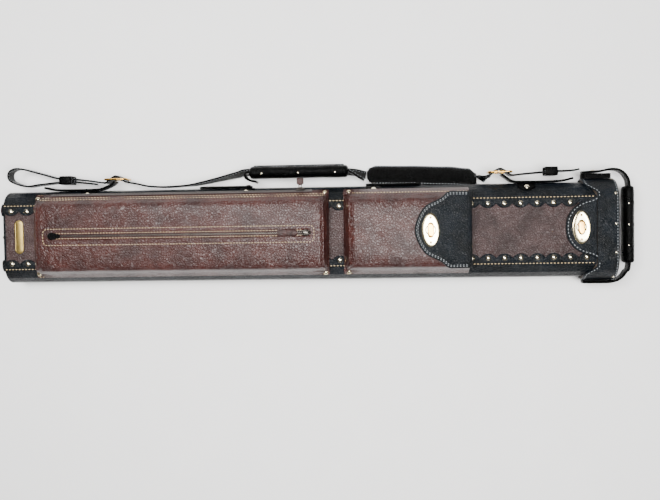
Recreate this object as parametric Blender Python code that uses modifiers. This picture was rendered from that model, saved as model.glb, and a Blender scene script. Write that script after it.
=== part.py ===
"""A hard leather-covered case for billiard cues: two butts and four shafts.

The case lies on its back. +X runs from the base to the lid, +Y towards the side that carries
the handle and the shoulder strap, +Z out of the front, where the pockets are. Z = 0 is the
back face. Everything is in metres.
"""

import math

import bmesh
import bpy
from mathutils import Vector

# ---------------------------------------------------------------- driving dimensions
GAP = 0.0003  # clearance between pieces that touch
CASE_HEIGHT = 0.132  # across the long section, over the leather
CASE_DEPTH = 0.056  # across the short section, over the leather
LEATHER = 0.0017
TUBE_WALL = 0.002
BACK_STAND_OFF = 0.0045  # how far the back panel stands behind the body
BASE_X = -0.432  # outer face of the base cap
MOUTH_X = 0.4212  # open end of the body
BASE_CAP = 0.0037
BASE_FOAM = 0.007
MOUTH_PLATE = 0.0055

BUTT_BORE = 0.036
SHAFT_BORE = 0.022
BORE_WALL_BUTT = 0.0008
BORE_WALL_SHAFT = 0.0007

LID_END_X = 0.433
LID_DEPTH = 0.046
LID_WALL = 0.0022
LID_NOTCH = 0.016  # how far the lid's front edge is set back from its side edges
LID_FOAM = 0.0045
LID_FLAP_REACH = 0.042
FLAP_THICKNESS = 0.0023

TRIM_THICKNESS = 0.001
STUD_PITCH = 0.0223

LONG_POCKET = (-0.3837, 0.0362)
SMALL_POCKET = (0.0572, 0.229)
POCKET_HEIGHT = 0.0245
POCKET_WALL = 0.0018
POCKET_FLAP_REACH = 0.0775

STRAP_WIDTH = 0.020
STRAP_LOW_Z = 0.0097  # the shoulder strap's middle where it lies along the table
PAD_HALF = 0.016
PAD_LEAN = math.radians(60)  # from upright, onto the case's side
STRAP_THICKNESS = 0.0022
HANDLE_STRAP = 0.003
GRIP_X = (-0.078, 0.063)
END_GRIP_Y = (-0.0475, 0.0595)

# ---------------------------------------------------------------- derived sizes
RADIUS = CASE_DEPTH / 2
FLAT = CASE_HEIGHT / 2 - RADIUS  # half length of the section's flat sides
MID_Z = BACK_STAND_OFF + RADIUS
TUBE_OUTER = RADIUS - LEATHER - GAP
TUBE_INNER = TUBE_OUTER - TUBE_WALL
TRIM_BASE = RADIUS + GAP
TRIM_TOP = TRIM_BASE + TRIM_THICKNESS
POCKET_BASE = TRIM_TOP + GAP
FRONT_Z = MID_Z + RADIUS
PANEL_HALF = FLAT - GAP
TUBE_BASE_X = BASE_X + BASE_CAP + GAP
LID_INNER = RADIUS + GAP
LID_OUTER = LID_INNER + LID_WALL
LID_LEATHER_IN = LID_OUTER + GAP
LID_LEATHER_OUT = MID_Z
LID_MOUTH_X = LID_END_X - LID_DEPTH
LID_FRONT_X = LID_MOUTH_X + LID_NOTCH
LID_SHELL_END = LID_END_X - 0.0037
FLAP_Z = MID_Z + TRIM_TOP + 0.0005
POCKET_TOP = MID_Z + POCKET_BASE + POCKET_HEIGHT
SIDE_Y = FLAT + RADIUS
TRIM_INNER = FLAT - 0.0065
TRIM_CUSP = FLAT - 0.0012
TRIM_MIDDLE = FLAT + 0.005
TRIM_OUTER = FLAT + 0.010

LID_LOCK = (LID_FRONT_X - 0.0217, 0.0033)
POCKET_LOCK = (SMALL_POCKET[1] - 0.0535, 0.0028)
LOCK_PLATE = (0.024, 0.046)
LOCK_SLOT = (0.008, 0.021)
LOCK_BAR = (0.0058, 0.0185)

BLACK = ((0.018, 0.02, 0.024), 0.45, 0.0)
BROWN = ((0.13, 0.03, 0.022), 0.4, 0.0)
BRASS = ((0.8, 0.66, 0.36), 0.28, 1.0)
STEEL = ((0.3, 0.29, 0.28), 0.35, 1.0)
PLASTIC = ((0.02, 0.02, 0.02), 0.6, 0.0)
FOAM = ((0.05, 0.05, 0.05), 0.9, 0.0)
BOARD = ((0.09, 0.07, 0.05), 0.7, 0.0)


# ---------------------------------------------------------------- helpers
def finish(name, look):
    material = bpy.data.materials.get(name) or bpy.data.materials.new(name)
    material.use_nodes = True
    shader = material.node_tree.nodes["Principled BSDF"]
    colour, roughness, metallic = look
    shader.inputs["Base Color"].default_value = (*colour, 1)
    shader.inputs["Roughness"].default_value = roughness
    shader.inputs["Metallic"].default_value = metallic
    return material


FINISH_NAMES = {"black_leather": BLACK, "brown_leather": BROWN, "brass": BRASS, "gunmetal": STEEL,
                "plastic": PLASTIC, "foam": FOAM, "board": BOARD}


def keep(name, mesh_data, look, origin=(0, 0, 0), cutter=False):
    """Turns a bmesh into an object whose origin is on its joint's axis."""
    mesh = bpy.data.meshes.new(name)
    bmesh.ops.translate(mesh_data, verts=mesh_data.verts, vec=-Vector(origin))
    mesh_data.to_mesh(mesh)
    mesh_data.free()
    thing = bpy.data.objects.new(name, mesh)
    thing.location = origin
    (cutters if cutter else parts).objects.link(thing)
    if cutter:
        thing.hide_render = True
        thing.display_type = "WIRE"
    else:
        mesh.materials.append(finish(look, FINISH_NAMES[look]))
        mesh.shade_smooth()
        mesh.set_sharp_from_angle(angle=math.radians(35))
    return thing


def prism(outline, axis, low, high):
    """A closed prism: a flat outline of (u, v) points, pushed from low to high along X or Z."""
    work = bmesh.new()
    if axis == "X":
        corners = [work.verts.new((low, u, v)) for u, v in outline]
        push = Vector((high - low, 0, 0))
    else:
        corners = [work.verts.new((u, v, low)) for u, v in outline]
        push = Vector((0, 0, high - low))
    face = work.faces.new(corners)
    made = bmesh.ops.extrude_face_region(work, geom=[face])["geom"]
    moved = [v for v in made if isinstance(v, bmesh.types.BMVert)]
    bmesh.ops.translate(work, verts=moved, vec=push)
    bmesh.ops.recalc_face_normals(work, faces=work.faces)
    return work


def block(x, y, z):
    work = bmesh.new()
    bmesh.ops.create_cube(work, size=1)
    for vert in work.verts:
        for i, (low, high) in enumerate((x, y, z)):
            vert.co[i] = low if vert.co[i] < 0 else high
    return work


def rod(radius, start, end, sides=16):
    start, end = Vector(start), Vector(end)
    work = bmesh.new()
    turn = (end - start).to_track_quat("Z", "Y").to_matrix().to_4x4()
    turn.translation = (start + end) / 2
    bmesh.ops.create_cone(work, cap_ends=True, segments=sides, radius1=radius, radius2=radius,
                          depth=(end - start).length, matrix=turn)
    return work


def oval(centre, size, steps=20):
    return [(centre[0] + size[0] / 2 * math.cos(t), centre[1] + size[1] / 2 * math.sin(t))
            for t in (2 * math.pi * i / steps for i in range(steps))]


def slot_outline(centre, size, steps=6):
    """A slot with round ends, its long side along the second axis."""
    radius = size[0] / 2
    reach = size[1] / 2 - radius
    top = [(centre[0] + radius * math.cos(math.pi * i / steps),
            centre[1] + reach + radius * math.sin(math.pi * i / steps)) for i in range(steps + 1)]
    return top + [(2 * centre[0] - x, 2 * centre[1] - y) for x, y in top]


def section(radius, steps=8):
    """The case's section in (Y, Z): two flats joined by half circles of this radius."""
    half = [(FLAT + radius * math.sin(math.pi * i / steps),
             MID_Z + radius * math.cos(math.pi * i / steps)) for i in range(steps + 1)]
    return half + [(-y, 2 * MID_Z - z) for y, z in half]


def skin_point(s, radius):
    """The point at distance s round the section from the middle of the front."""
    side = math.copysign(1, s)
    if abs(s) <= FLAT:
        return s, MID_Z + radius
    angle = min((abs(s) - FLAT) / RADIUS, math.pi)
    return side * (FLAT + radius * math.sin(angle)), MID_Z + radius * math.cos(angle)


def skin(name, columns, outer, thickness, look):
    """A skin that follows the section: columns of (x, [s, ...]), thickened inwards."""
    work = bmesh.new()
    rows = [[work.verts.new((x, *skin_point(s, outer))) for s in line] for x, line in columns]
    for first, second in zip(rows, rows[1:]):
        for i in range(len(first) - 1):
            work.faces.new((first[i], second[i], second[i + 1], first[i + 1]))
    middle = Vector((0, 0, MID_Z))
    bmesh.ops.recalc_face_normals(work, faces=work.faces)
    face = next(iter(work.faces))
    if face.normal.dot(face.calc_center_median() - middle) < 0:
        bmesh.ops.reverse_faces(work, faces=work.faces)
    piece = keep(name, work, look)
    thicken(piece, thickness, -1)
    return piece


def thicken(piece, thickness, offset):
    solid = piece.modifiers.new("Thickness", "SOLIDIFY")
    solid.thickness = thickness
    solid.offset = offset
    solid.use_even_offset = True


def cut(piece, work, name):
    tool = keep(name, work, None, cutter=True)
    boolean = piece.modifiers.new(name, "BOOLEAN")
    boolean.operation = "DIFFERENCE"
    boolean.object = tool


def smooth_path(points, steps=3):
    """A smooth curve through the points, as a list of points."""
    points = [Vector(p) for p in points]
    ends = [2 * points[0] - points[1]] + points + [2 * points[-1] - points[-2]]
    path = []
    for a, b, c, d in zip(ends, ends[1:], ends[2:], ends[3:]):
        for i in range(steps):
            t = i / steps
            path.append(0.5 * (2 * b + (c - a) * t + (2 * a - 5 * b + 4 * c - d) * t ** 2
                               + (3 * b - a - 3 * c + d) * t ** 3))
    return path + [points[-1]]


def ribbon(name, points, width, thickness, look, origin=(0, 0, 0), steps=3):
    """A flat strap through (x, y, z, lean) points: lean turns its width from Z towards Y."""
    path = smooth_path([Vector((*p, 0) if len(p) == 3 else p) for p in points], steps)
    work = bmesh.new()
    rows = []
    for x, y, z, lean in path:
        half = Vector((0, math.sin(lean), math.cos(lean))) * width / 2
        rows.append([work.verts.new(Vector((x, y, z)) + half * k) for k in (-1, 1)])
    for (a, b), (c, d) in zip(rows, rows[1:]):
        work.faces.new((a, b, d, c))
    piece = keep(name, work, look, origin)
    thicken(piece, thickness, 0)
    return piece


def smooth_step(t):
    t = min(max(t, 0), 1)
    return t * t * (3 - 2 * t)


# ---------------------------------------------------------------- body
def make_body():
    loop = section(TUBE_OUTER)
    tube = keep("case_tube", prism(loop, "X", TUBE_BASE_X, MOUTH_X), "board")
    cut(tube, prism(section(TUBE_INNER), "X", TUBE_BASE_X - 0.01, MOUTH_X + 0.01), "tube_hollow")
    keep("base_cap", prism(section(RADIUS), "X", BASE_X, BASE_X + BASE_CAP), "black_leather")
    foam_x = TUBE_BASE_X + 0.0005
    keep("base_foam", prism(section(TUBE_INNER - GAP), "X", foam_x, foam_x + BASE_FOAM), "foam")
    make_bores(foam_x + BASE_FOAM + GAP)
    around = [FLAT + GAP + RADIUS * (math.pi - 0.012) * i / 8 for i in range(9)]
    ends = (TUBE_BASE_X, MOUTH_X)
    for name, side in (("upper_wrap", 1), ("lower_wrap", -1)):
        columns = [(x, [side * s for s in around]) for x in ends]
        skin(name, columns, RADIUS, LEATHER, "black_leather")
    front = [(-PANEL_HALF, FRONT_Z), (PANEL_HALF, FRONT_Z),
             (PANEL_HALF, FRONT_Z - LEATHER), (-PANEL_HALF, FRONT_Z - LEATHER)]
    keep("front_panel", prism(front, "X", TUBE_BASE_X, LID_FRONT_X + 0.012), "brown_leather")
    back_top = BACK_STAND_OFF + LEATHER
    back = [(-PANEL_HALF, 0), (PANEL_HALF, 0), (PANEL_HALF, back_top), (-PANEL_HALF, back_top)]
    keep("back_panel", prism(back, "X", BASE_X + 0.004, LID_MOUTH_X - 0.003), "black_leather")
    for name, side in (("upper_trim", 1), ("lower_trim", -1)):
        skin(name, trim_columns(side), TRIM_TOP, TRIM_THICKNESS, "black_leather")
    plate = slot_outline((-0.4081, 0.001), (0.0126, 0.048))
    keep("name_plate", prism(plate, "Z", FRONT_Z + GAP, FRONT_Z + 0.0015), "brass")


def make_bores(start):
    butt_y = FLAT + TUBE_INNER - GAP - BUTT_BORE / 2 - BORE_WALL_BUTT
    shaft = SHAFT_BORE / 2 + BORE_WALL_SHAFT + GAP / 2
    end = MOUTH_X - MOUTH_PLATE
    plate = keep("mouth_plate", prism(section(TUBE_INNER - GAP), "X", end, MOUTH_X), "plastic")
    bores = [("butt_tube_upper", butt_y, MID_Z, BUTT_BORE, BORE_WALL_BUTT),
             ("butt_tube_lower", -butt_y, MID_Z, BUTT_BORE, BORE_WALL_BUTT)]
    for i, (y, z) in enumerate(((shaft, shaft), (shaft, -shaft), (-shaft, shaft), (-shaft, -shaft))):
        bores.append((f"shaft_tube_{i + 1}", y, MID_Z + z, SHAFT_BORE, BORE_WALL_SHAFT))
    for name, y, z, bore, wall in bores:
        sides = 20 if bore == BUTT_BORE else 16
        tube = keep(name, rod(bore / 2 + wall, (start, y, z), (end - GAP, y, z), sides), "plastic")
        cut(tube, rod(bore / 2, (start - 0.01, y, z), (end + 0.01, y, z), sides), name + "_bore")
        cut(plate, rod(bore / 2, (end - 0.01, y, z), (MOUTH_X + 0.01, y, z), sides), name + "_mouth")


def trim_columns(side):
    """The trim's edge is scalloped where it shows and straight under the pockets."""
    runs = (((-0.4196, 0.0233), 2, BASE_X + GAP, LONG_POCKET[0] - 0.001),
            ((0.0509 - STUD_PITCH, STUD_PITCH), 3, LONG_POCKET[1] + 0.001, SMALL_POCKET[0] - 0.001),
            ((0.2335, STUD_PITCH), 8, SMALL_POCKET[1] + 0.001, LID_FRONT_X - 0.003))
    columns = []
    for (first, pitch), count, low, high in runs:
        stops = {low, high}
        for i in range(-2, 4 * count + 1):
            x = first + pitch * i / 4
            if low + 0.001 < x < high - 0.001:
                stops.add(x)
        for x in sorted(stops):
            phase = abs((x - first) / pitch - round((x - first) / pitch)) * 2
            columns.append((x, TRIM_INNER + (TRIM_CUSP - TRIM_INNER) * phase ** 1.6))
    return [(x, [side * inner, side * TRIM_CUSP, side * TRIM_MIDDLE, side * TRIM_OUTER])
            if inner < TRIM_CUSP - 0.0004 else
            (x, [side * (TRIM_CUSP - 0.0004), side * TRIM_CUSP, side * TRIM_MIDDLE, side * TRIM_OUTER])
            for x, inner in columns]


# ---------------------------------------------------------------- pockets
FLANGE = 0.0015
UPPER_EDGE, LOWER_EDGE = FLAT + 0.0235, -FLAT - 0.0195  # distance round the section
POCKET_BASE_STOPS = (LOWER_EDGE, -FLAT - 0.010, -FLAT - 0.005, -FLAT, 0, FLAT, FLAT + 0.005, FLAT + 0.010,
                     FLAT + 0.017, UPPER_EDGE)


def pocket_points(height):
    """The pocket's section in (Y, Z): its base on the case, its top at this share of full height."""
    base = [skin_point(s, POCKET_BASE) for s in POCKET_BASE_STOPS]
    full = [(SIDE_Y - 0.0047, -0.0321), (SIDE_Y - 0.0055, -0.0246), (SIDE_Y - 0.009, -0.0156),
            (SIDE_Y - 0.015, -0.0071), (SIDE_Y - 0.022, -0.002), (0.012, 0), (-0.012, 0),
            (0.022 - SIDE_Y, -0.002), (0.0165 - SIDE_Y, -0.0086), (0.0122 - SIDE_Y, -0.0206),
            (0.0082 - SIDE_Y, -0.0301)]
    low_s = [UPPER_EDGE, FLAT + 0.021, FLAT + 0.018, FLAT + 0.014, FLAT + 0.006, 0.012, -0.012,
             -FLAT - 0.006, -FLAT - 0.010, -FLAT - 0.015, LOWER_EDGE]
    top = []
    for (y, drop), s in zip(full, low_s):
        low_y, low_z = skin_point(s, POCKET_BASE + FLANGE)
        top.append((low_y + (y - low_y) * height, low_z + (POCKET_TOP + drop - low_z) * height))
    return base + top


def cavity_points():
    """The section of the space inside the open pocket."""
    floor = MID_Z + POCKET_BASE + POCKET_WALL
    roof = POCKET_TOP - POCKET_WALL
    upper = [(SIDE_Y - 0.010, floor), (SIDE_Y - 0.012, roof - 0.0142), (SIDE_Y - 0.017, roof - 0.007),
             (SIDE_Y - 0.023, roof - 0.0022), (0.012, roof)]
    lower = [(-0.012, roof), (0.023 - SIDE_Y, roof - 0.0022), (0.0185 - SIDE_Y, roof - 0.008),
             (0.0155 - SIDE_Y, floor)]
    return upper + lower


def loft(stations):
    """A closed body through sections of equal count: [(x, [(y, z), ...]), ...]."""
    work = bmesh.new()
    rings = [[work.verts.new((x, y, z)) for y, z in outline] for x, outline in stations]
    for first, second in zip(rings, rings[1:]):
        for i in range(len(first)):
            k = (i + 1) % len(first)
            work.faces.new((first[i], first[k], second[k], second[i]))
    work.faces.new(rings[0])
    work.faces.new(rings[-1])
    bmesh.ops.recalc_face_normals(work, faces=work.faces)
    return work


def make_pockets():
    low, high = LONG_POCKET
    rises = ((low, 0.02), (low + 0.003, 0.4), (low + 0.010, 0.82), (low + 0.021, 1),
             (high - 0.008, 1), (high - 0.003, 0.75), (high, 0.02))
    keep("long_pocket", loft([(x, pocket_points(h)) for x, h in rises]), "brown_leather")
    low, high = SMALL_POCKET
    rises = ((low, 0.02), (low + 0.003, 0.55), (low + 0.011, 1), (high, 1))
    pocket = keep("small_pocket", loft([(x, pocket_points(h)) for x, h in rises]), "brown_leather")
    cut(pocket, prism(cavity_points(), "X", low + 0.013, high + 0.01), "pocket_hollow")


# ---------------------------------------------------------------- zips
ZIP_Y = 0.0018
ZIP_LOW, ZIP_HIGH = -0.357, 0.0135
TOP_ZIP_SLIDER_X = -0.0022
PULL_SET_OFF = 0.002  # lets the upper pull turn up without touching its slider
FLANK = Vector((0, SIDE_Y - 0.0072, POCKET_TOP - 0.0201))
FLANK_LEAN = math.atan2(0.0035, 0.009)  # the flank's slope between its second and third stops
FLANK_OUT = Vector((0, math.cos(FLANK_LEAN), math.sin(FLANK_LEAN)))
FLANK_UP = Vector((0, -math.sin(FLANK_LEAN), math.cos(FLANK_LEAN)))


def flank_block(x, width, rise):
    """A block on the pocket's upper flank, rise measured out from the leather."""
    work = block(x, (-width / 2, width / 2), rise)
    for vert in work.verts:
        vert.co = Vector((vert.co.x, 0, 0)) + FLANK + FLANK_UP * vert.co.y + FLANK_OUT * vert.co.z
    bmesh.ops.reverse_faces(work, faces=work.faces)
    return work


def make_zips():
    base = POCKET_TOP + GAP
    chain_top = base + 0.0012
    keep("front_zip_chain", block((ZIP_LOW, ZIP_HIGH), (ZIP_Y - 0.003, ZIP_Y + 0.003), (base, chain_top)),
         "gunmetal")
    slider_x = (0.0012, 0.0122)
    slider_z = (chain_top + GAP, chain_top + GAP + 0.0032)
    keep("front_zip_slider", block(slider_x, (ZIP_Y - 0.0045, ZIP_Y + 0.0045), slider_z), "gunmetal",
         (slider_x[0], ZIP_Y, slider_z[0]))
    pull_x = (slider_x[0] - GAP - 0.034, slider_x[0] - GAP)
    keep("front_zip_pull", block(pull_x, (ZIP_Y - 0.003, ZIP_Y + 0.003), (slider_z[0], slider_z[0] + 0.002)),
         "brown_leather", (slider_x[0], ZIP_Y, slider_z[1]))
    keep("top_zip_chain", flank_block((ZIP_LOW, ZIP_HIGH), 0.006, (0.0012, 0.0024)), "gunmetal")
    x = TOP_ZIP_SLIDER_X
    keep("top_zip_slider", flank_block((x - 0.0055, x + 0.0055), 0.009, (0.0027, 0.0057)), "gunmetal",
         FLANK + Vector((x, 0, 0)))
    root = FLANK + FLANK_OUT * 0.0062 + Vector((x, 0, 0))
    pull = block((x - 0.003, x + 0.003), (root.y + PULL_SET_OFF, root.y + 0.013), (root.z, root.z + 0.002))
    keep("top_zip_pull", pull, "brown_leather", root)


# ---------------------------------------------------------------- locks
def make_lock(name, centre, floor, flap_top):
    """Base plate and post on the case, turning bar above the plate on the flap."""
    post_top = flap_top + 0.0022
    base = keep(name + "_lock_base", rod(0.0028, (*centre, floor + 0.0005), (*centre, post_top), 12), "brass")
    foot = keep(name + "_foot_cut", prism(oval(centre, (0.012, 0.024)), "Z", floor, floor + 0.001), None,
                cutter=True)
    union = base.modifiers.new("foot", "BOOLEAN")
    union.operation = "UNION"
    union.object = foot
    bar_low = post_top + GAP
    keep(name + "_lock_toggle", prism(slot_outline(centre, LOCK_BAR), "Z", bar_low, bar_low + 0.0042), "brass",
         (*centre, bar_low))
    plate = keep(name + "_lock_plate", prism(oval(centre, LOCK_PLATE), "Z", flap_top + GAP, flap_top + 0.0018),
                 "brass")
    cut(plate, prism(slot_outline(centre, LOCK_SLOT), "Z", flap_top - 0.01, flap_top + 0.01), name + "_slot")


def mirrored(half, centre_y):
    """Half of a flap's outline, hinge side first, mirrored about its middle and smoothed."""
    upper = [(x, centre_y + y) for x, y in half]
    lower = [(x, centre_y - y) for x, y in reversed(half[:-1])]
    path = smooth_path([Vector((x, y, 0)) for x, y in upper + lower], 2)
    return [(p.x, p.y) for p in path]


def make_flaps():
    root_x = LID_FRONT_X - GAP
    reach = [(0, 0.0435), (0.0057, 0.0395), (0.0187, 0.0355), (0.0312, 0.0275), (0.0397, 0.0145),
             (LID_FLAP_REACH, 0)]
    outline = mirrored([(root_x - back, y) for back, y in reach], 0.0030)
    top = FLAP_Z + FLAP_THICKNESS
    hinge = (LID_FRONT_X, 0, top)
    flap = keep("lid_flap", prism(outline, "Z", FLAP_Z, top), "black_leather", hinge)
    cut(flap, prism(slot_outline(LID_LOCK, LOCK_SLOT), "Z", FLAP_Z - 0.01, top + 0.01), "lid_flap_slot")
    make_lock("lid", LID_LOCK, FRONT_Z + GAP, top)

    outer_x = SMALL_POCKET[1] + GAP + FLAP_THICKNESS
    low = POCKET_TOP + 0.0016
    top = low + FLAP_THICKNESS
    tip = outer_x - POCKET_FLAP_REACH
    half_root = SIDE_Y - 0.014
    outline = mirrored([(outer_x, half_root), (tip + 0.0459, half_root), (tip + 0.0374, 0.0450),
                        (tip + 0.0299, 0.0405), (tip + 0.0149, 0.0325), (tip + 0.0049, 0.0180), (tip, 0)],
                       0.0028)
    work = prism(outline, "Z", low, top)
    flap = keep("pocket_flap", work, "black_leather", (outer_x, 0, MID_Z + TRIM_TOP + 0.0008))
    side = block((outer_x - FLAP_THICKNESS, outer_x), (0.0028 - half_root, 0.0028 + half_root),
                 (MID_Z + TRIM_TOP + 0.0008, top - 0.0005))
    panel = keep("pocket_flap_side", side, None, cutter=True)
    union = flap.modifiers.new("side", "BOOLEAN")
    union.operation = "UNION"
    union.object = panel
    cut(flap, prism(slot_outline(POCKET_LOCK, LOCK_SLOT), "Z", low - 0.01, top + 0.01), "pocket_flap_slot")
    make_lock("pocket", POCKET_LOCK, POCKET_TOP + GAP, top)


# ---------------------------------------------------------------- lid
def notch_outline():
    """The curve that sets the lid's front and back edges back between its two side ears."""
    steps = 14
    edge_y = SIDE_Y - 0.0015
    points = []
    for i in range(steps + 1):
        y = edge_y * (2 * i / steps - 1)
        t = smooth_step((abs(y) - (SIDE_Y - 0.016)) / (edge_y - (SIDE_Y - 0.016)))
        points.append((LID_FRONT_X - (LID_NOTCH + 0.0005) * t, y))
    return [(LID_MOUTH_X - 0.01, -edge_y)] + points + [(LID_MOUTH_X - 0.01, edge_y)]


def make_lid():
    shell = keep("lid_shell", prism(section(LID_OUTER), "X", LID_MOUTH_X + 0.0008, LID_SHELL_END), "board")
    cut(shell, prism(section(LID_INNER), "X", LID_MOUTH_X - 0.01, LID_SHELL_END - LID_WALL), "lid_hollow")
    cover = keep("lid_cover", prism(section(LID_LEATHER_OUT), "X", LID_MOUTH_X, LID_END_X), "black_leather")
    cut(cover, prism(section(LID_LEATHER_IN), "X", LID_MOUTH_X - 0.01, LID_SHELL_END + GAP), "cover_hollow")
    for piece in (shell, cover):
        cut(piece, prism(notch_outline(), "Z", -0.01, 0.08), piece.name + "_notch")
    foam_x = LID_SHELL_END - LID_WALL - GAP
    keep("lid_foam", prism(section(LID_INNER - GAP), "X", foam_x - LID_FOAM, foam_x), "foam")
    make_end_handle()


END_PIVOT = (LID_FRONT_X + 0.002, 0, MID_Z)
END_GRIP_X = LID_END_X + 0.020


def grip_with_slot(name, outer, slot, axis, low, high, origin):
    """A wrapped leather grip: an oval tube with a slot for its strap."""
    outline = oval(*outer)
    if axis == "X":
        work = prism(outline, "X", low, high)
        tool = block((low - 0.01, high + 0.01), *slot)
    else:
        work = prism(outline, "X", low, high)
        for vert in work.verts:
            vert.co = Vector((vert.co.y, vert.co.x, vert.co.z))
        bmesh.ops.reverse_faces(work, faces=work.faces)
        tool = block(slot[0], (low - 0.01, high + 0.01), slot[1])
    grip = keep(name, work, "black_leather", origin)
    cut(grip, tool, name + "_slot")


def make_end_handle():
    top = [(-0.044, 0.0135), (-0.021, 0.0145), (-0.005, 0.0172), (0.007, 0.0155), (0.016, 0.0075),
           (0.020, -0.006)]
    bottom = [(0.020, 0.018), (0.015, 0.006), (0.007, -0.003), (-0.005, -0.0075), (-0.021, -0.008),
              (-0.044, -0.008)]
    path = [(LID_END_X + x, SIDE_Y + rise, MID_Z) for x, rise in top]
    path.append((END_GRIP_X, 0.02, MID_Z))
    path += [(LID_END_X + x, drop - SIDE_Y, MID_Z) for x, drop in bottom]
    ribbon("end_handle_strap", path, STRAP_WIDTH, HANDLE_STRAP, "black_leather", END_PIVOT)
    grip_with_slot("end_handle_grip", ((END_GRIP_X, MID_Z), (0.0165, 0.026)),
                   ((END_GRIP_X - 0.0019, END_GRIP_X + 0.0019), (MID_Z - 0.0105, MID_Z + 0.0105)),
                   "Y", *END_GRIP_Y, END_PIVOT)
    for name, inner, outer in (("end_handle_rivet_upper", SIDE_Y + 0.0049, SIDE_Y + 0.0115),
                               ("end_handle_rivet_lower", -SIDE_Y - 0.0049, -SIDE_Y - 0.0062)):
        keep(name, rod(0.0045, (END_PIVOT[0], inner, MID_Z), (END_PIVOT[0], outer, MID_Z), 12), "brass")


# ---------------------------------------------------------------- carry handle and shoulder strap
HANDLE_PIVOT = (0, SIDE_Y + 0.004, MID_Z)
HANDLE_Y = SIDE_Y + 0.0228  # middle of the carrying handle
TOP_Y = SIDE_Y + GAP + HANDLE_STRAP / 2


def make_carry_handle():
    path = [(-0.0675, 0.0080), (-0.0705, 0.0094), (-0.0765, 0.0106), (-0.0825, 0.0140), (-0.0848, 0.0188),
            (-0.0820, 0.0224), (-0.0740, 0.0228), (-0.0100, 0.0228), (0.0560, 0.0228), (0.0665, 0.0206),
            (0.0770, 0.0138), (0.0855, 0.0085)]
    ribbon("handle_strap", [(x, SIDE_Y + rise, MID_Z) for x, rise in path], STRAP_WIDTH, HANDLE_STRAP,
           "black_leather", HANDLE_PIVOT)
    grip_with_slot("handle_grip", ((HANDLE_Y, MID_Z), (0.019, 0.0255)),
                   ((HANDLE_Y - 0.0019, HANDLE_Y + 0.0019), (MID_Z - 0.0105, MID_Z + 0.0105)),
                   "X", *GRIP_X, HANDLE_PIVOT)
    for name, low, high, rivet_x in (("left", -0.151, -0.0745, -0.0805), ("right", 0.088, 0.1647, 0.0990)):
        path = [(low, TOP_Y, MID_Z), ((low + high) / 2, TOP_Y, MID_Z), (high, TOP_Y, MID_Z)]
        anchor = ribbon("handle_anchor_" + name, path, STRAP_WIDTH, HANDLE_STRAP, "black_leather", steps=1)
        bore = rod(0.0035, (rivet_x, SIDE_Y - 0.01, MID_Z), (rivet_x, SIDE_Y + 0.01, MID_Z), 12)
        cut(anchor, bore, "anchor_bore_" + name)
        pin = rod(0.0032, (rivet_x, SIDE_Y + GAP, MID_Z), (rivet_x, SIDE_Y + 0.0045, MID_Z), 12)
        keep("handle_rivet_" + name, pin, "brass")


def beside(points):
    """Strap points from (x, rise over the case's side, height, lean)."""
    return [(x, SIDE_Y + rise, z, lean) for x, rise, z, lean in points]


def make_shoulder_strap():
    low = STRAP_LOW_Z
    left = [(0.0880, 0.0170, low, 0.5), (0.0640, 0.0220, low, 0.42), (-0.0100, 0.0245, low, 0.42),
            (-0.0817, 0.0245, low, 0.42), (-0.1000, 0.0208, low + 0.0028, 0.35),
            (-0.1250, 0.0145, MID_Z - 0.0125, 0.2), (-0.1500, 0.0088, MID_Z - 0.0065, 0.1)]
    left += [(x, rise, MID_Z, 0) for x, rise in
             ((-0.1700, 0.0055), (-0.2000, 0.0040), (-0.2250, 0.0055), (-0.2420, 0.0092), (-0.2550, 0.0115),
              (-0.2600, 0.0136), (-0.2650, 0.0176), (-0.2720, 0.0208), (-0.2790, 0.0176), (-0.2840, 0.0136),
              (-0.2890, 0.0115), (-0.3100, 0.0145), (-0.3400, 0.0182), (-0.3580, 0.0190), (-0.3850, 0.0265),
              (-0.4140, 0.0340), (-0.4270, 0.0320), (-0.4316, 0.0245), (-0.4270, 0.0155), (-0.4060, 0.0085),
              (-0.3850, 0.0105), (-0.3580, 0.0130), (-0.3360, 0.0130))]
    right = [(0.2490, 0.0085, MID_Z - 0.0135, 0.5), (0.2540, 0.0105, MID_Z - 0.0065, 0.2)]
    right += [(x, rise, MID_Z, 0) for x, rise in
              ((0.2590, 0.0115), (0.2640, 0.0136), (0.2690, 0.0176), (0.2760, 0.0208), (0.2830, 0.0176),
               (0.2880, 0.0136), (0.2930, 0.0115), (0.3100, 0.0130), (0.3460, 0.0155), (0.3740, 0.0165),
               (0.3860, 0.0182))]
    ribbon("shoulder_strap_left", beside(left), STRAP_WIDTH, STRAP_THICKNESS, "black_leather", steps=2)
    ribbon("shoulder_strap_right", beside(right), STRAP_WIDTH, STRAP_THICKNESS, "black_leather", steps=2)
    make_pad()
    for name, side, buckle_x, keeper_x in (("left", -1, -0.2720, -0.3460), ("right", 1, 0.2760, 0.3465)):
        make_buckle(name, buckle_x)
        make_keeper(name, keeper_x)
        far = 0.378 if side < 0 else 0.3765
        path = [(side * far, SIDE_Y + 0.0058), (side * (far - 0.012), SIDE_Y + 0.0030),
                (side * (far - 0.028), TOP_Y), (side * 0.305, TOP_Y), (side * 0.2925, SIDE_Y + 0.0032),
                (buckle_x + side * 0.0085, SIDE_Y + 0.0082), (buckle_x + side * 0.0022, SIDE_Y + 0.0128)]
        ribbon("strap_anchor_" + name, [(x, y, MID_Z) for x, y in path], STRAP_WIDTH - 0.002, HANDLE_STRAP,
               "black_leather", steps=2)


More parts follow.
